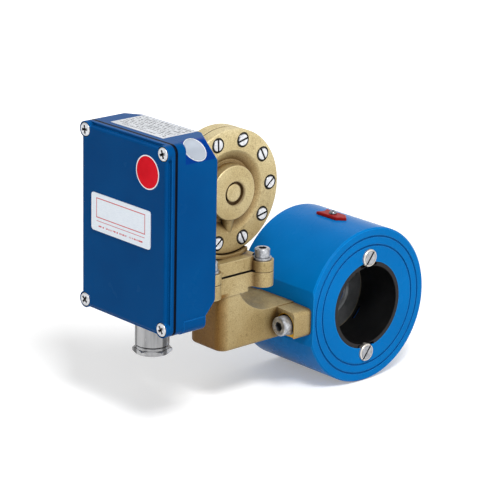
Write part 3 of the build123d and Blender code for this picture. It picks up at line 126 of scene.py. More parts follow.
# Pipe section: sealing grooves, retaining screws, front face of the sleeve
GROOVE_RADII = (0.0415, 0.0475)
RETAINER_Z = 0.0333
RETAINER_HEAD_R = 0.0062
SLEEVE_LIP_X = 0.0352

# Cable gland, upright
GLAND_X = 0.0
GLAND_Y = -0.1575
REFLECTION_BAND_COUNT = 3
REFLECTION_BAND_START = -1.98

# Studio
FLOOR_HALF = 30
FLOOR_GAP = 0.0002
FLOOR_GLOW_NEAR = 0.3
FLOOR_GLOW_FAR = 0.9
GLOW_START_R = 0.3
GLOW_END_R = 0.9
WORLD_LIGHT = 0.45

WHITE = (1, 1, 1, 1)

# Every material made here, by its plain name
finishes = {}


def srgb(r, g, b):
    out = []
    for value in (r, g, b):
        c = value / 255
        out.append(c / 12.92 if c <= 0.04045 else ((c + 0.055) / 1.055) ** 2.4)
    return (*out, 1.0)


class Look:
    # A material under construction, with short names for the usual nodes
    def __init__(self, name, rough=0.4, metal=0.0, spec=0.5):
        self.mat = bpy.data.materials.new(name)
        self.mat.use_nodes = True
        self.tree = self.mat.node_tree
        self.bsdf = self.tree.nodes["Principled BSDF"]
        self.bsdf.inputs["Roughness"].default_value = rough
        self.bsdf.inputs["Metallic"].default_value = metal
        self.bsdf.inputs["Specular IOR Level"].default_value = spec
        self.coords = self.tree.nodes.new("ShaderNodeTexCoord").outputs["Object"]
        finishes[name] = self.mat

    def put(self, socket, value):
        if isinstance(value, bpy.types.NodeSocket):
            self.tree.links.new(value, socket)
        else:
            socket.default_value = value

    def math(self, kind, a, b=0.0):
        node = self.tree.nodes.new("ShaderNodeMath")
        node.operation = kind
        for socket, value in zip(node.inputs, (a, b)):
            self.put(socket, value)
        return node.outputs[0]

    def times(self, first, *others):
        # Product of two or more masks or numbers
        for other in others:
            first = self.math("MULTIPLY", first, other)
        return first

    def less(self, a, b):
        return self.math("SUBTRACT", a, b)

    def size(self, value):
        return self.math("ABSOLUTE", value)

    def length(self, a, b):
        # Distance from the origin of two coordinates
        squares = self.math("ADD", self.math("POWER", a, 2.0), self.math("POWER", b, 2.0))
        return self.math("SQRT", squares)

    def axes(self):
        node = self.tree.nodes.new("ShaderNodeSeparateXYZ")
        self.put(node.inputs[0], self.coords)
        return node.outputs

    def noise(self, scale, detail=3.0, stretch=(1, 1, 1), offset=0.0):
        mapping = self.tree.nodes.new("ShaderNodeMapping")
        self.put(mapping.inputs["Vector"], self.coords)
        mapping.inputs["Scale"].default_value = stretch
        mapping.inputs["Location"].default_value = (offset, offset, offset)
        node = self.tree.nodes.new("ShaderNodeTexNoise")
        self.put(node.inputs["Vector"], mapping.outputs[0])
        node.inputs["Scale"].default_value = scale
        node.inputs["Detail"].default_value = detail
        return node.outputs["Fac"]

    def ramp(self, value, *stops):
        node = self.tree.nodes.new("ShaderNodeValToRGB")
        self.put(node.inputs[0], value)
        ramp = node.color_ramp
        while len(ramp.elements) < len(stops):
            ramp.elements.new(0.5)
        for element, (place, colour) in zip(ramp.elements, stops):
            element.position = place
            element.color = colour
        return node.outputs[0]

    def span(self, value, low, high, to_low, to_high):
        node = self.tree.nodes.new("ShaderNodeMapRange")
        for socket, number in zip(node.inputs, (value, low, high, to_low, to_high)):
            self.put(socket, number)
        return node.outputs[0]

    def mix(self, factor, a, b, kind="MIX"):
        node = self.tree.nodes.new("ShaderNodeMix")
        node.data_type = "RGBA"
        node.blend_type = kind
        self.put(node.inputs[0], factor)
        self.put(node.inputs[6], a)
        self.put(node.inputs[7], b)
        return node.outputs[2]

    def crease(self, distance):
        # 0 deep in a corner or gap, 1 on open faces
        node = self.tree.nodes.new("ShaderNodeAmbientOcclusion")
        node.inputs["Distance"].default_value = distance
        node.samples = 8
        return node.outputs["AO"]

    def soft_normal(self, radius):
        node = self.tree.nodes.new("ShaderNodeBevel")
        node.samples = 6
        node.inputs["Radius"].default_value = radius
        return node.outputs[0]

    def edges(self, radius, low=0.01, high=0.16):
        # 1 along sharp edges, where a rounded normal leaves the real one
        node = self.tree.nodes.new("ShaderNodeVectorMath")
        node.operation = "DOT_PRODUCT"
        self.put(node.inputs[0], self.soft_normal(radius))
        self.put(node.inputs[1], self.tree.nodes.new("ShaderNodeNewGeometry").outputs["Normal"])
        return self.span(self.less(1.0, node.outputs["Value"]), low, high, 0.0, 1.0)

    def inside(self, value, low, high, soft=0.00004):
        # 1 where the value lies between low and high
        up = self.span(value, low - soft, low + soft, 0.0, 1.0)
        down = self.span(value, high - soft, high + soft, 1.0, 0.0)
        return self.times(up, down)

    def paint(self, colour):
        self.put(self.bsdf.inputs["Base Color"], colour)

    def roughness(self, value):
        self.put(self.bsdf.inputs["Roughness"], value)

    def rough_noise(self, scale, low, high, stretch=(1, 1, 1), offset=3):
        self.roughness(self.span(self.noise(scale, 3, stretch, offset), 0.3, 0.7, low, high))

    def bump(self, height, distance, strength, round_edges=0.0):
        node = self.tree.nodes.new("ShaderNodeBump")
        node.inputs["Strength"].default_value = strength
        node.inputs["Distance"].default_value = distance
        self.put(node.inputs["Height"], height)
        if round_edges:
            self.put(node.inputs["Normal"], self.soft_normal(round_edges))
        self.put(self.bsdf.inputs["Normal"], node.outputs[0])


def gloss_paint(name, dark, light, rough, spec, rim, groove=(30, 34, 44), edge=0.0004, film=False, rings=()):
    look = Look(name, spec=spec)
    x, y, z = look.axes()
    colour = look.ramp(look.noise(22, 2), (0.3, srgb(*dark)), (0.7, srgb(*light)))
    if film:
        # A clear film behind the oval label makes the paint a little darker
        patch = look.times(
            look.inside(y, *FILM_PAINT_Y),
            look.inside(z, FILM_LOW_Z, 0.2),
            look.inside(x, FILM_SIDE_X, 0.1),
        )
        colour = look.mix(patch, colour, srgb(0, 50, 124))
    # Painted shade beside the sealing grooves of the end faces: darker paint in bands round them
    for radius in rings:
        band = look.inside(look.length(y, z), radius - 0.0011, radius + 0.0011, 0.0003)
        colour = look.mix(look.times(band, 0.55), colour, srgb(0, 66, 132))
    # Painted light along sharp edges in the rim colour: a highlight on the blue paints, a dark edge on the
    # red arrow
    colour = look.mix(look.times(look.edges(0.001), 0.55), colour, srgb(*rim))
    # Painted shadow: a dark line on the paint along the seam of the cover
    seam = look.inside(y, SEAM_FRONT_Y, SEAM_BACK_Y, 0.00012)
    colour = look.mix(look.times(seam, 0.95), colour, srgb(2, 4, 10))
    # Painted shade in seams and corners, darker where nearby surfaces close in
    crease_shade = look.ramp(look.crease(0.003), (0.2, srgb(*groove)), (0.66, WHITE))
    look.paint(look.mix(0.95, colour, crease_shade, "MULTIPLY"))
    look.rough_noise(60, rough, rough + 0.06)
    look.bump(look.noise(900, 2, offset=7), 0.00003, 0.35, edge)


def from_axis(look, shift_y=0.0, shift_z=0.0):
    # Distance from the disc's axis, or from a line beside it
    x, y, z = look.axes()
    out_y = look.less(y, DISC_Y + shift_y)
    out_z = look.less(z, DISC_Z + shift_z)
    return look.length(out_y, out_z), out_y, out_z


def from_screw(look):
    # Distance from the nearest screw of the ring
    reach, out_y, out_z = from_axis(look)
    turn = look.less(look.math("ARCTAN2", out_z, out_y), SCREW_START)
    step = 2 * math.pi / SCREW_COUNT
    count = look.math("DIVIDE", turn, step)
    part = look.less(count, look.math("ROUND", count))
    along = look.times(part, step, reach)
    across = look.less(reach, SCREW_RING_R)
    return look.length(along, across)


def flange_marks(look, colour):
    x, y, z = look.axes()
    from_joint = look.size(look.less(y, JOINT_Y))
    # Painted shade: brown bands in the concave corners where the round ears meet the plates between them
    band = look.times(
        look.inside(from_joint, 0.0135, 0.0168, 0.0012),
        look.inside(z, EAR_LOW_Z, EAR_TOP_Z),
        look.math("GREATER_THAN", x, 0.0095),
    )
    colour = look.mix(look.times(band, 0.6), colour, srgb(160, 126, 74), "MULTIPLY")
    # Brown joint line round the ears; painted shade, black, in the gap of the seam between them
    joint = look.times(look.inside(z, JOINT_Z - 0.0003, JOINT_Z + 0.0003, 0.0001), 0.75)
    colour = look.mix(joint, colour, srgb(74, 52, 26))
    seam = look.inside(z, JOINT_Z - 0.0004, JOINT_Z + JOINT_RELIEF + 0.0002, 0.00015)
    beside_x = look.math("LESS_THAN", look.size(x), JOINT_HALF_X)
    beside_y = look.math("LESS_THAN", from_joint, JOINT_HALF_Y)
    seam = look.times(seam, look.math("MAXIMUM", beside_x, beside_y))
    return look.mix(look.times(seam, 0.95), colour, srgb(18, 13, 8))


def disc_marks(look, colour):
    x, y, z = look.axes()
    front = look.math("GREATER_THAN", x, 0.004)
    # Painted shade: black in the counterbore round each screw of the ring
    counterbore_shade = look.times(look.inside(from_screw(look), 0.0, COUNTERBORE_R, 0.0001), front, 0.9)
    colour = look.mix(counterbore_shade, colour, srgb(26, 20, 12))
    # Painted shadow: a brown crescent beside the button, to its lower right
    button_shadow = look.span(from_axis(look, 0.0018, -0.0008)[0], 0.0088, 0.0072, 0.0, 0.75)
    outside = look.math("GREATER_THAN", from_axis(look)[0], BUTTON_R)
    colour = look.mix(look.times(button_shadow, outside, front), colour, srgb(92, 68, 38))
    # Painted shade: the slope round the hub browner towards its right side, and a thin dark line round the
    # hub; a thin dark line also round the disc
    reach, out_y, out_z = from_axis(look)
    slope_shade = look.times(
        look.inside(reach, HUB_R + 0.0003, HUB_R + 0.008, 0.0012),
        front,
        look.span(out_y, -0.004, 0.014, 0.1, 0.6),
    )
    colour = look.mix(slope_shade, colour, srgb(172, 142, 96), "MULTIPLY")
    hub_line = look.inside(reach, HUB_R - 0.0003, HUB_R, 0.00008)
    disc_line = look.inside(reach, DISC_R - 0.0005, DISC_R)
    disc_line = look.times(disc_line, look.math("GREATER_THAN", x, DISC_FRONT_X))
    line = look.times(look.math("MAXIMUM", hub_line, disc_line), front, 0.7)
    colour = look.mix(line, colour, srgb(104, 78, 42))
    # Painted shade: the disc grows darker towards its lower side
    lower = look.times(
        look.inside(reach, -1.0, DISC_R + 0.0004),
        front,
        look.span(z, 0.116, 0.066, 0.0, 1.0),
    )
    colour = look.mix(lower, colour, srgb(208, 200, 186), "MULTIPLY")
    # Painted shade: the foot of the housing, under the disc, is darker than its disc
    foot = look.span(z, 0.056, 0.047, 0.0, 0.8)
    return look.mix(foot, colour, srgb(206, 197, 180), "MULTIPLY")


def manifold_marks(look, colour):
    # The manifold is browner than the housing; painted shade makes it darker low down, and a painted shadow
    # of the box darkens its front
    x, y, z = look.axes()
    low_down = look.span(z, 0.034, -0.014, 0.5, 0.85)
    colour = look.mix(low_down, colour, srgb(180, 163, 130), "MULTIPLY")
    # Painted shadow of the box on the front of the column, below the flange
    front = look.span(y, -0.107, -0.1128, 0.0, 0.9)
    front = look.times(front, look.span(z, EAR_LOW_Z, EAR_LOW_Z + 0.001, 1.0, 0.0))
    return look.mix(front, colour, srgb(178, 138, 52), "MULTIPLY")


def pocket_mask(look):
    # Pockets of the two lower bolts, open below: floor at full strength, walls at half
    x, y, z = look.axes()
    side = look.less(look.size(x), BOLT_X)
    up = look.less(z, BOLT_Z)
    ring = look.math("LESS_THAN", look.length(side, up), POCKET_R)
    low = look.math("LESS_THAN", up, 0.0)
    narrow = look.math("LESS_THAN", look.size(side), POCKET_R)
    return look.times(
        look.math("MAXIMUM", ring, look.times(low, narrow)),
        look.inside(y, POCKET_FRONT_Y, POCKET_FLOOR_Y),
        look.span(y, POCKET_WALL_Y, POCKET_WALL_Y + 0.001, 0.55, 1.0),
    )


def cast_brass(name, marks):
    look = Look(name, spec=0.3)
    fine = look.noise(1500, 2, offset=5)
    colour = look.ramp(
        look.noise(38, 4),
        (0.3, srgb(190, 172, 126)),
        (0.5, srgb(206, 190, 145)),
        (0.72, srgb(220, 207, 166)),
    )
    grain = look.ramp(fine, (0.35, srgb(198, 193, 182)), (0.65, WHITE))
    colour = look.mix(0.7, colour, grain, "MULTIPLY")
    stain = look.ramp(look.noise(420, 3, offset=9), (0.58, WHITE), (0.74, srgb(150, 122, 78)))
    colour = look.mix(0.4, colour, stain, "MULTIPLY")
    # Painted highlight, pale, on sharp edges; painted shade, brown in hollows and black in narrow gaps
    colour = look.mix(look.times(look.edges(0.0012), 0.5), colour, srgb(238, 228, 192))
    crease_shade = look.ramp(
        look.crease(0.007),
        (0.2, srgb(16, 12, 6)),
        (0.46, srgb(158, 128, 78)),
        (0.88, WHITE),
    )
    colour = look.mix(0.95, colour, crease_shade, "MULTIPLY")
    gap_shade = look.ramp(look.crease(0.0022), (0.25, srgb(14, 11, 7)), (0.6, WHITE))
    colour = look.mix(0.95, colour, gap_shade, "MULTIPLY")
    colour = marks(look, flange_marks(look, colour))
    # Machined seats of the two lower bolts are bare yellow metal
    pocket = pocket_mask(look)
    look.paint(look.mix(pocket, colour, srgb(206, 156, 36)))
    look.rough_noise(90, 0.42, 0.58, offset=2)
    look.put(look.bsdf.inputs["Metallic"], look.span(pocket, 0.0, 1.0, 0.45, 0.85))
    height = look.math("ADD", fine, look.times(look.noise(260, 4, offset=4), 1.6))
    look.bump(height, 0.00012, 0.55, 0.0007)


def head_edge_shade(look, colour):
    # Painted shade: the outer edge of each head of the screw ring is darkened to black, where the gap round
    # it lies in shade
    rim = look.span(from_screw(look), RIM_SCREW_R - 0.0003, RIM_SCREW_R, 0.0, 0.85)
    return look.mix(rim, colour, srgb(24, 22, 20))


def pale_rim(look, colour):
    # The retaining screws have a pale rim with a dark line inside it
    x, y, z = look.axes()
    reach = look.length(y, look.less(look.size(z), RETAINER_Z))
    pale = look.inside(reach, RETAINER_HEAD_R - 0.0013, RETAINER_HEAD_R)
    colour = look.mix(pale, colour, srgb(204, 198, 190))
    line = look.inside(reach, RETAINER_HEAD_R - 0.0016, RETAINER_HEAD_R - 0.0013, 0.00008)
    return look.mix(look.times(line, 0.8), colour, srgb(62, 60, 58))


def reflection_bands(look, colour):
    # Painted reflections: three dark and three bright bands down the gland, evenly spaced round it
    x, y, z = look.axes()
    turn = look.math("ARCTAN2", look.less(y, GLAND_Y), look.less(x, GLAND_X))
    count = look.math("DIVIDE", look.less(turn, REFLECTION_BAND_START), 2 * math.pi / REFLECTION_BAND_COUNT)
    part = look.less(count, look.math("ROUND", count))
    dark = look.inside(part, -0.09, 0.09, 0.03)
    colour = look.mix(look.times(dark, 0.85), colour, srgb(34, 34, 35))
    bright = look.inside(part, 0.14, 0.34, 0.07)
    return look.mix(look.times(bright, 0.35), colour, srgb(226, 226, 226))


def steel(
    name,
    dark,
    light,
    rough,
    metal=0.9,
    stretch=(1, 1, 1),
    edge=0.0002,
    scale=500,
    reach=0.0026,
    marks=None,
):
    look = Look(name, metal=metal)
    tone = look.ramp(look.noise(scale, 3, stretch), (0.3, srgb(*dark)), (0.7, srgb(*light)))
    # Painted shade: darker, towards black, in creases and gaps
    steel_crease_shade = look.ramp(look.crease(reach), (0.3, srgb(10, 9, 8)), (0.72, WHITE))
    colour = look.mix(0.97, tone, steel_crease_shade, "MULTIPLY")
    if marks:
        colour = marks(look, colour)
    look.paint(colour)
    look.rough_noise(200, rough, rough + 0.14, stretch)
    look.bump(look.noise(1600, 2, stretch, 6), 0.00004, 0.3, edge)


def plastic(name, dark, light, rough=0.5, spec=0.4):
    look = Look(name, spec=spec)
    look.paint(look.ramp(look.noise(60, 4), (0.3, srgb(*dark)), (0.7, srgb(*light))))
    look.rough_noise(150, rough, rough + 0.12)
    look.bump(look.noise(900, 3, offset=6), 0.00005, 0.4, 0.0002)


def plate_print():
    # Silver plate with a plain red frame, a thin rule and a row of dots, no words
    look = Look("plate_print", rough=0.35, metal=0.25)
    x, y, z = look.axes()
    wide = look.size(look.less(x, PLATE_X))
    up = look.less(z, PLATE_Z)
    tall = look.size(look.less(up, PLATE_FRAME_RISE))
    out_x = look.less(wide, PLATE_FRAME_HALF_X)
    out_z = look.less(tall, PLATE_FRAME_HALF_Z)
    marks = look.inside(look.math("MAXIMUM", out_x, out_z), -0.0003, 0.0003, 0.00005)
    rule = look.inside(up, -0.0058, -0.0054, 0.00005)
    rule = look.times(rule, look.math("LESS_THAN", wide, PLATE_FRAME_HALF_X))
    marks = look.math("MAXIMUM", marks, rule)
    row = look.inside(up, -0.0093, -0.0083, 0.00005)
    row = look.times(row, look.math("LESS_THAN", wide, PLATE_FRAME_HALF_X - 0.002))
    dots = look.math("GREATER_THAN", look.noise(1100, 1, (1, 1, 0.2), 2), 0.5)
    marks = look.math("MAXIMUM", marks, look.times(row, dots))
    silver = look.ramp(
        look.noise(300, 2, (1, 1, 30)),
        (0.3, srgb(205, 214, 224)),
        (0.7, srgb(226, 232, 238)),
    )
    look.paint(look.mix(marks, silver, srgb(186, 38, 44)))
    look.bump(look.noise(2000, 2), 0.00002, 0.3, 0.0003)


def label_print():
    # White label with rows of small grey dashes
    look = Look("label_print", rough=0.5, spec=0.08)
    x, y, z = look.axes()
    row = look.math("FRACT", look.math("DIVIDE", look.less(y, ROW_START_Y), ROW_PITCH))
    ink = look.times(
        look.inside(row, 0.3, 0.68, 0.05),
        look.math("GREATER_THAN", look.noise(900, 2, (1, 0.3, 1)), 0.46),
        look.math("GREATER_THAN", look.noise(170, 0, (1, 2.2, 1), 4), 0.38),
        look.inside(x, *PRINT_X),
        look.inside(y, *PRINT_Y),
    )
    paper = look.ramp(look.noise(80, 3), (0.3, srgb(192, 195, 199)), (0.7, srgb(204, 206, 210)))
    look.paint(look.mix(ink, paper, srgb(52, 54, 60)))
    look.bump(look.noise(1500, 2), 0.00002, 0.3)


def sticker_print():
    # Red round sticker with a white rim
    look = Look("sticker_print", rough=0.35, spec=0.03)
    x, y, z = look.axes()
    reach = look.length(look.less(x, STICKER_X), look.less(z, STICKER_Z))
    red = look.ramp(look.noise(90, 3), (0.3, srgb(206, 16, 32)), (0.7, srgb(222, 24, 40)))
    rim = look.inside(reach, STICKER_RED_R, 0.02, 0.00006)
    look.paint(look.mix(rim, red, srgb(238, 238, 240)))
    look.bump(look.noise(1500, 2), 0.00002, 0.3)


def sleeve_plastic():
    # Black sleeve with a paler front face
    look = Look("sleeve_plastic", spec=0.15)
    x, y, z = look.axes()
    lip = look.inside(x, SLEEVE_LIP_X, 0.04, 0.00005)
    black = look.ramp(look.noise(120, 3), (0.3, srgb(4, 4, 4)), (0.7, srgb(9, 9, 9)))
    look.paint(look.mix(lip, black, srgb(30, 28, 29)))
    look.rough_noise(200, 0.42, 0.6)
    look.bump(look.noise(900, 3, offset=6), 0.00006, 0.4, 0.0003)


def turned_plate():
    # Grey plate with fine turning rings round the pipe's axis
    look = Look("turned_plate", metal=0.75)
    x, y, z = look.axes()
    rings = look.math("SINE", look.times(look.length(y, z), 9000.0))
    look.paint(look.ramp(look.noise(140, 3), (0.3, srgb(96, 98, 100)), (0.7, srgb(126, 128, 130))))
    look.rough_noise(300, 0.36, 0.5)
    look.bump(rings, 0.00002, 0.35, 0.0003)


def floor_white():
    # Pale floor that keeps shadows. For the camera and reflections it glows up to white,
    # and more so away from the part, where less light reaches it
    look = Look("floor_white", rough=0.9, spec=0.0)
    look.paint(look.ramp(look.noise(3, 2), (0.3, (0.80, 0.80, 0.80, 1)), (0.7, (0.83, 0.83, 0.83, 1))))
    path = look.tree.nodes.new("ShaderNodeLightPath")
    seen = look.math("MAXIMUM", path.outputs["Is Camera Ray"], path.outputs["Is Glossy Ray"])
    seen = look.math("MAXIMUM", seen, path.outputs["Is Transmission Ray"])
    x, y, z = look.axes()
    glow = look.span(look.length(x, y), GLOW_START_R, GLOW_END_R, FLOOR_GLOW_NEAR, FLOOR_GLOW_FAR)
    look.bsdf.inputs["Emission Color"].default_value = WHITE
    look.put(look.bsdf.inputs["Emission Strength"], look.times(seen, glow))


# Blue of the box: its darker and lighter spots, and the painted highlight along its edges
BOX_DARK = (0, 63, 118)
BOX_LIGHT = (0, 70, 127)
BOX_EDGE_HIGHLIGHT = (24, 116, 196)

gloss_paint(
    "pipe_paint",
    (0, 100, 167),
    (0, 108, 178),
    rough=0.24,
    spec=0.03,
    rim=(40, 156, 232),
    groove=(120, 150, 196),
    rings=GROOVE_RADII,
)
gloss_paint("enclosure_paint", BOX_DARK, BOX_LIGHT, rough=0.22, spec=0.02, rim=BOX_EDGE_HIGHLIGHT)
gloss_paint("case_paint", BOX_DARK, BOX_LIGHT, rough=0.22, spec=0.02, rim=BOX_EDGE_HIGHLIGHT, film=True)
gloss_paint(
    "arrow_red",
    (134, 16, 13),
    (150, 24, 19),
    rough=0.35,
    spec=0.08,
    rim=(116, 12, 10),
    edge=0.0002,
)
cast_brass("cast_brass", disc_marks)
cast_brass("manifold_brass", manifold_marks)
steel("bright_steel", (136, 137, 140), (178, 179, 182), rough=0.3, metal=0.8, marks=pale_rim)
steel("rim_steel", (176, 177, 180), (216, 217, 220), rough=0.3, metal=0.7, marks=head_edge_shade)
steel("head_steel", (176, 177, 180), (216, 217, 220), rough=0.3, metal=0.7)
steel("turned_steel", (150, 152, 156), (196, 198, 202), rough=0.3)
steel("wire_steel", (120, 122, 126), (160, 162, 166), rough=0.3)
steel("bolt_steel", (124, 126, 130), (188, 190, 194), rough=0.26, metal=0.7, reach=0.006)
steel("chrome_screw", (86, 88, 92), (132, 134, 138), rough=0.16)
steel(
    "nickel_plate",
    (116, 116, 117),
    (172, 172, 173),
    rough=0.14,
    metal=0.55,
    stretch=(3, 3, 0.3),
    edge=0.0003,
    scale=80,
    reach=0.005,
    marks=reflection_bands,
)
plastic("rubber_black", (16, 16, 17), (26, 26, 27), rough=0.6, spec=0.3)
plastic("membrane_rubber", (38, 32, 26), (52, 45, 36), rough=0.7, spec=0.2)
plastic("fibre_gasket", (98, 92, 80), (120, 112, 98), rough=0.8, spec=0.2)
plastic("board_green", (22, 84, 46), (30, 100, 56), rough=0.3, spec=0.5)
plastic("terminal_plastic", (150, 152, 146), (168, 170, 164))
plastic("component_black", (28, 28, 30), (40, 40, 42), rough=0.45)
plastic("oval_rim", (214, 218, 222), (226, 229, 232), spec=0.05)
plastic("oval_print", (156, 163, 174), (170, 177, 187), spec=0.05)
sleeve_plastic()
turned_plate()
plate_print()
label_print()
sticker_print()
floor_white()

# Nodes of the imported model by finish
dress = {
    "pipe_paint": ("pipe_section",),
    "turned_plate": ("orifice_plate",),
    "fibre_gasket": ("orifice_gasket",),
    "sleeve_plastic": ("orifice_sleeve",),
    "arrow_red": ("flow_arrow",),
    "manifold_brass": ("manifold",),
    "cast_brass": ("housing_base", "diaphragm_cover"),
    "membrane_rubber": ("diaphragm",),
    "turned_steel": ("diaphragm_plates", "stem", "lever", "lever_pin"),
    "wire_steel": ("range_spring",),
    "chrome_screw": ("arrow_screw", "magnet"),
    "bright_steel": ("retaining_screws", "neck_screws", "board_screws"),
    "rim_steel": ("rim_screws",),
    "head_steel": ("cover_screws",),
    "bolt_steel": ("manifold_screws", "manifold_washers", "flange_screws", "flange_washers"),
    "rubber_black": (
        "channel_seals",
        "lever_seal",
        "neck_gasket",
        "cover_gasket",
        "gland_seal",
        "gland_ring",
    ),
    "case_paint": ("enclosure_body",),
    "enclosure_paint": ("enclosure_cover",),
    "plate_print": ("nameplate",),
    "nickel_plate": ("gland_body", "gland_nut", "gland_locknut"),
    "board_green": ("transmitter_board",),
    "terminal_plastic": ("terminal_block",),
    "component_black": ("board_components", "sensor"),
}
for finish, nodes in dress.items():
    for node in nodes:
        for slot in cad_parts[node].material_slots:
            slot.material = finishes[finish]


def piece(name, mesh, finish):
    obj = bpy.data.objects.new(name, mesh)
    scene.collection.objects.link(obj)
    mesh.materials.append(finishes[finish])
    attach(obj, "transmitter")
    return obj


def thin_sheet(name, grid, out, thickness):
    # A closed flat sheet over a grid of points, rows of equal length
    mesh = bpy.data.meshes.new(name)
    bm = bmesh.new()
    low, top = (
        [[bm.verts.new(point + out * lift) for point in row] for row in grid] for lift in (0.0, thickness)
    )
    count_i = len(grid)
    count_j = len(grid[0])
    for i in range(count_i - 1):
        for j in range(count_j - 1):
            bm.faces.new((top[i][j], top[i + 1][j], top[i + 1][j + 1], top[i][j + 1]))
            bm.faces.new((low[i][j], low[i][j + 1], low[i + 1][j + 1], low[i + 1][j]))
    border = [(i, 0) for i in range(count_i)]
    border += [(count_i - 1, j) for j in range(1, count_j)]
    border += [(i, count_j - 1) for i in range(count_i - 2, -1, -1)]
    border += [(0, j) for j in range(count_j - 2, 0, -1)]
    for (i, j), (k, m) in zip(border, border[1:] + border[:1]):
        bm.faces.new((low[i][j], low[k][m], top[k][m], top[i][j]))
    bmesh.ops.recalc_face_normals(bm, faces=bm.faces)
    bm.to_mesh(mesh)
    bm.free()
    return mesh


def round_sheet(name, place, outline, thickness, rings=8, around=72):
    # outline(angle) gives flat coordinates a, b of the rim
    # place(a, b) gives the surface point and normal for flat coordinates a, b
    mesh = bpy.data.meshes.new(name)
    bm = bmesh.new()
    layers = []
    for lift in (0.0, thickness):
        point, out = place(0.0, 0.0)
        layer = [[bm.verts.new(point + out * lift)]]
        for r in range(1, rings + 1):
            ring = []
            for k in range(around):
                a, b = outline(2 * math.pi * k / around)
                point, out = place(a * r / rings, b * r / rings)
                ring.append(bm.verts.new(point + out * lift))
            layer.append(ring)
        layers.append(layer)
    for layer in layers:
        for k in range(around):
            m = (k + 1) % around
            bm.faces.new((layer[0][0], layer[1][k], layer[1][m]))
            for r in range(1, rings):
                bm.faces.new((layer[r][k], layer[r + 1][k], layer[r + 1][m], layer[r][m]))
    low_rim = layers[0][-1]
    top_rim = layers[1][-1]
    for k in range(around):
        m = (k + 1) % around
        bm.faces.new((low_rim[k], low_rim[m], top_rim[m], top_rim[k]))
    bmesh.ops.recalc_face_normals(bm, faces=bm.faces)
    bm.to_mesh(mesh)
    bm.free()
    return mesh


# Red round sticker on the cover
def on_cover(a, b):
    return Vector((STICKER_X + a, COVER_FACE_Y, STICKER_Z + b)), Vector((0, -1, 0))


def sticker_rim(angle):
    return STICKER_R * math.cos(angle), STICKER_R * math.sin(angle)


sticker = round_sheet("round_sticker", on_cover, sticker_rim, STICKER_THICKNESS)
piece("round_sticker", sticker, "sticker_print")

# Pale oval label over the rounded top edge of the box
edge_x = BOX_SIDE_X - BOX_EDGE_R
edge_z = BOX_TOP_Z - BOX_EDGE_R


def on_edge(a, b):
    # A flat oval beside the box, pressed onto its side, its rounded edge and its top
    start = Vector((BOX_SIDE_X, OVAL_Y + a, OVAL_Z + b))
    if start.z <= edge_z:
        return start, Vector((1, 0, 0))
    off_x = start.x - edge_x
    off_z = start.z - edge_z
    square = PRESS.x**2 + PRESS.z**2
    half = off_x * PRESS.x + off_z * PRESS.z
    inner = half**2 - square * (off_x**2 + off_z**2 - BOX_EDGE_R**2)
    if inner > 0:
        point = start + PRESS * ((-half - math.sqrt(inner)) / square)
        if point.x > edge_x:
            return point, Vector((point.x - edge_x, 0, point.z - edge_z)).normalized()
    point = start + PRESS * ((BOX_TOP_Z - start.z) / PRESS.z)
    return point, Vector((0, 0, 1))


def oval_rim(long_half, short_half):
    # A leaning ellipse whose side is cut off by the edge of the clear film
    def outline(angle):
        along = long_half * math.cos(angle)
        across = short_half * math.sin(angle)
        a = along * math.cos(OVAL_LEAN) - across * math.sin(OVAL_LEAN)
        b = along * math.sin(OVAL_LEAN) + across * math.cos(OVAL_LEAN)
        point, out = on_edge(a, b)
        return a + max(0.0, FILM_EDGE_Y - point.y), b

    return outline


for name, long_half, short_half, thickness, finish in (
    ("oval_label", 0.0110, 0.0058, 0.0001, "oval_rim"),
    ("oval_face", 0.0103, 0.0053, 0.00016, "oval_print"),
):
    rim = oval_rim(long_half, short_half)
    oval = piece(name, round_sheet(name, on_edge, rim, thickness, 24), finish)
    for face in oval.data.polygons:
        face.use_smooth = True

# White label on the top of the box
grid = []
for i in range(LABEL_STEPS_Y + 1):
    y = LABEL_FRONT_Y + LABEL_DEPTH * i / LABEL_STEPS_Y
    row = [LABEL_LEFT_X + LABEL_WIDTH * j / LABEL_STEPS_X for j in range(LABEL_STEPS_X + 1)]
    grid.append([Vector((x, y, BOX_TOP_Z)) for x in row])
label = thin_sheet("top_label", grid, Vector((0, 0, 1)), LABEL_THICKNESS)
piece("top_label", label, "label_print")

# Floor
mesh = bpy.data.meshes.new("floor")
bm = bmesh.new()
floor_z = cad_box[0][2] - FLOOR_GAP
corners = [
    bm.verts.new((FLOOR_HALF * side_x, FLOOR_HALF * side_y, floor_z))
    for side_x, side_y in ((-1, -1), (1, -1), (1, 1), (-1, 1))
]
bm.faces.new(corners)
bm.to_mesh(mesh)
bm.free()
floor = bpy.data.objects.new("floor", mesh)
scene.collection.objects.link(floor)
mesh.materials.append(finishes["floor_white"])

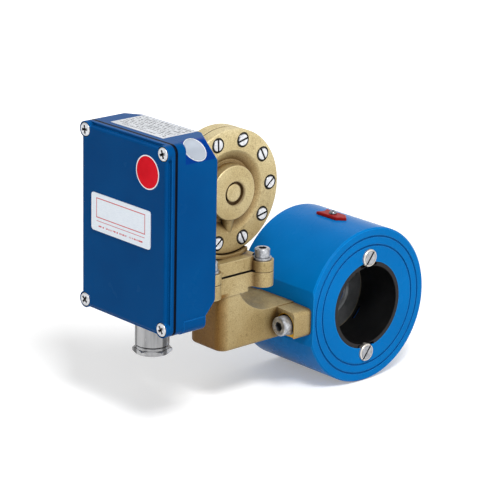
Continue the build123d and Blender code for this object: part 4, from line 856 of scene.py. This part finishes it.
# World: even light on the part, white where the camera or a reflection looks at it
world = bpy.data.worlds.new("studio")
scene.world = world
world.use_nodes = True
tree = world.node_tree
tree.nodes.clear()
output = tree.nodes.new("ShaderNodeOutputWorld")
blend = tree.nodes.new("ShaderNodeMixShader")
path = tree.nodes.new("ShaderNodeLightPath")
seen = path.outputs["Is Camera Ray"]
for ray in ("Is Glossy Ray", "Is Transmission Ray"):
    node = tree.nodes.new("ShaderNodeMath")
    node.operation = "MAXIMUM"
    tree.links.new(seen, node.inputs[0])
    tree.links.new(path.outputs[ray], node.inputs[1])
    seen = node.outputs[0]
tree.links.new(seen, blend.inputs[0])
for socket, strength in ((blend.inputs[1], WORLD_LIGHT), (blend.inputs[2], 1.0)):
    node = tree.nodes.new("ShaderNodeBackground")
    node.inputs["Color"].default_value = WHITE
    node.inputs["Strength"].default_value = strength
    tree.links.new(node.outputs[0], socket)
tree.links.new(blend.outputs[0], output.inputs[0])


def lamp(name, place, aim, size, power):
    data = bpy.data.lights.new(name, "AREA")
    data.shape = "SQUARE"
    data.size = size
    data.energy = power
    obj = bpy.data.objects.new(name, data)
    scene.collection.objects.link(obj)
    way = Vector(aim) - Vector(place)
    obj.matrix_world = Matrix.Translation(place) @ way.to_track_quat("-Z", "Y").to_matrix().to_4x4()


lamp("key", (0.85, -0.55, 1.30), (0, -0.12, 0.05), size=0.4, power=20)
lamp("top", (0.05, 0.35, 1.65), (0, -0.09, 0.03), size=0.6, power=2)
lamp("side", (1.6, 0.35, 0.6), (0, -0.09, 0.03), size=1.4, power=7)
lamp("back", (-0.6, 0.9, 1.2), (0, -0.09, 0.03), size=1.2, power=3)

# Camera: the axes of its picture, its place and its focal length, fitted to the photograph
CAMERA_RIGHT = Vector((0.6715, 0.7407, 0.0210))
CAMERA_UP = Vector((-0.2386, 0.1894, 0.9525))
CAMERA_PLACE = (1.0684, -1.0566, 0.5075)
FOCAL_PIXELS = 2333.5
PICTURE_PIXELS = 500
SENSOR_WIDTH = 36

right = CAMERA_RIGHT.normalized()
back = CAMERA_RIGHT.cross(CAMERA_UP).normalized()
up = back.cross(right)
camera_data = bpy.data.cameras.new("camera")
camera_data.sensor_width = SENSOR_WIDTH
camera_data.lens = SENSOR_WIDTH * FOCAL_PIXELS / PICTURE_PIXELS
camera_data.clip_end = 100
camera = bpy.data.objects.new("camera", camera_data)
scene.collection.objects.link(camera)
turn = Matrix((right, up, back)).transposed().to_4x4()
camera.matrix_world = Matrix.Translation(CAMERA_PLACE) @ turn
scene.camera = camera

scene.view_settings.view_transform = "Standard"
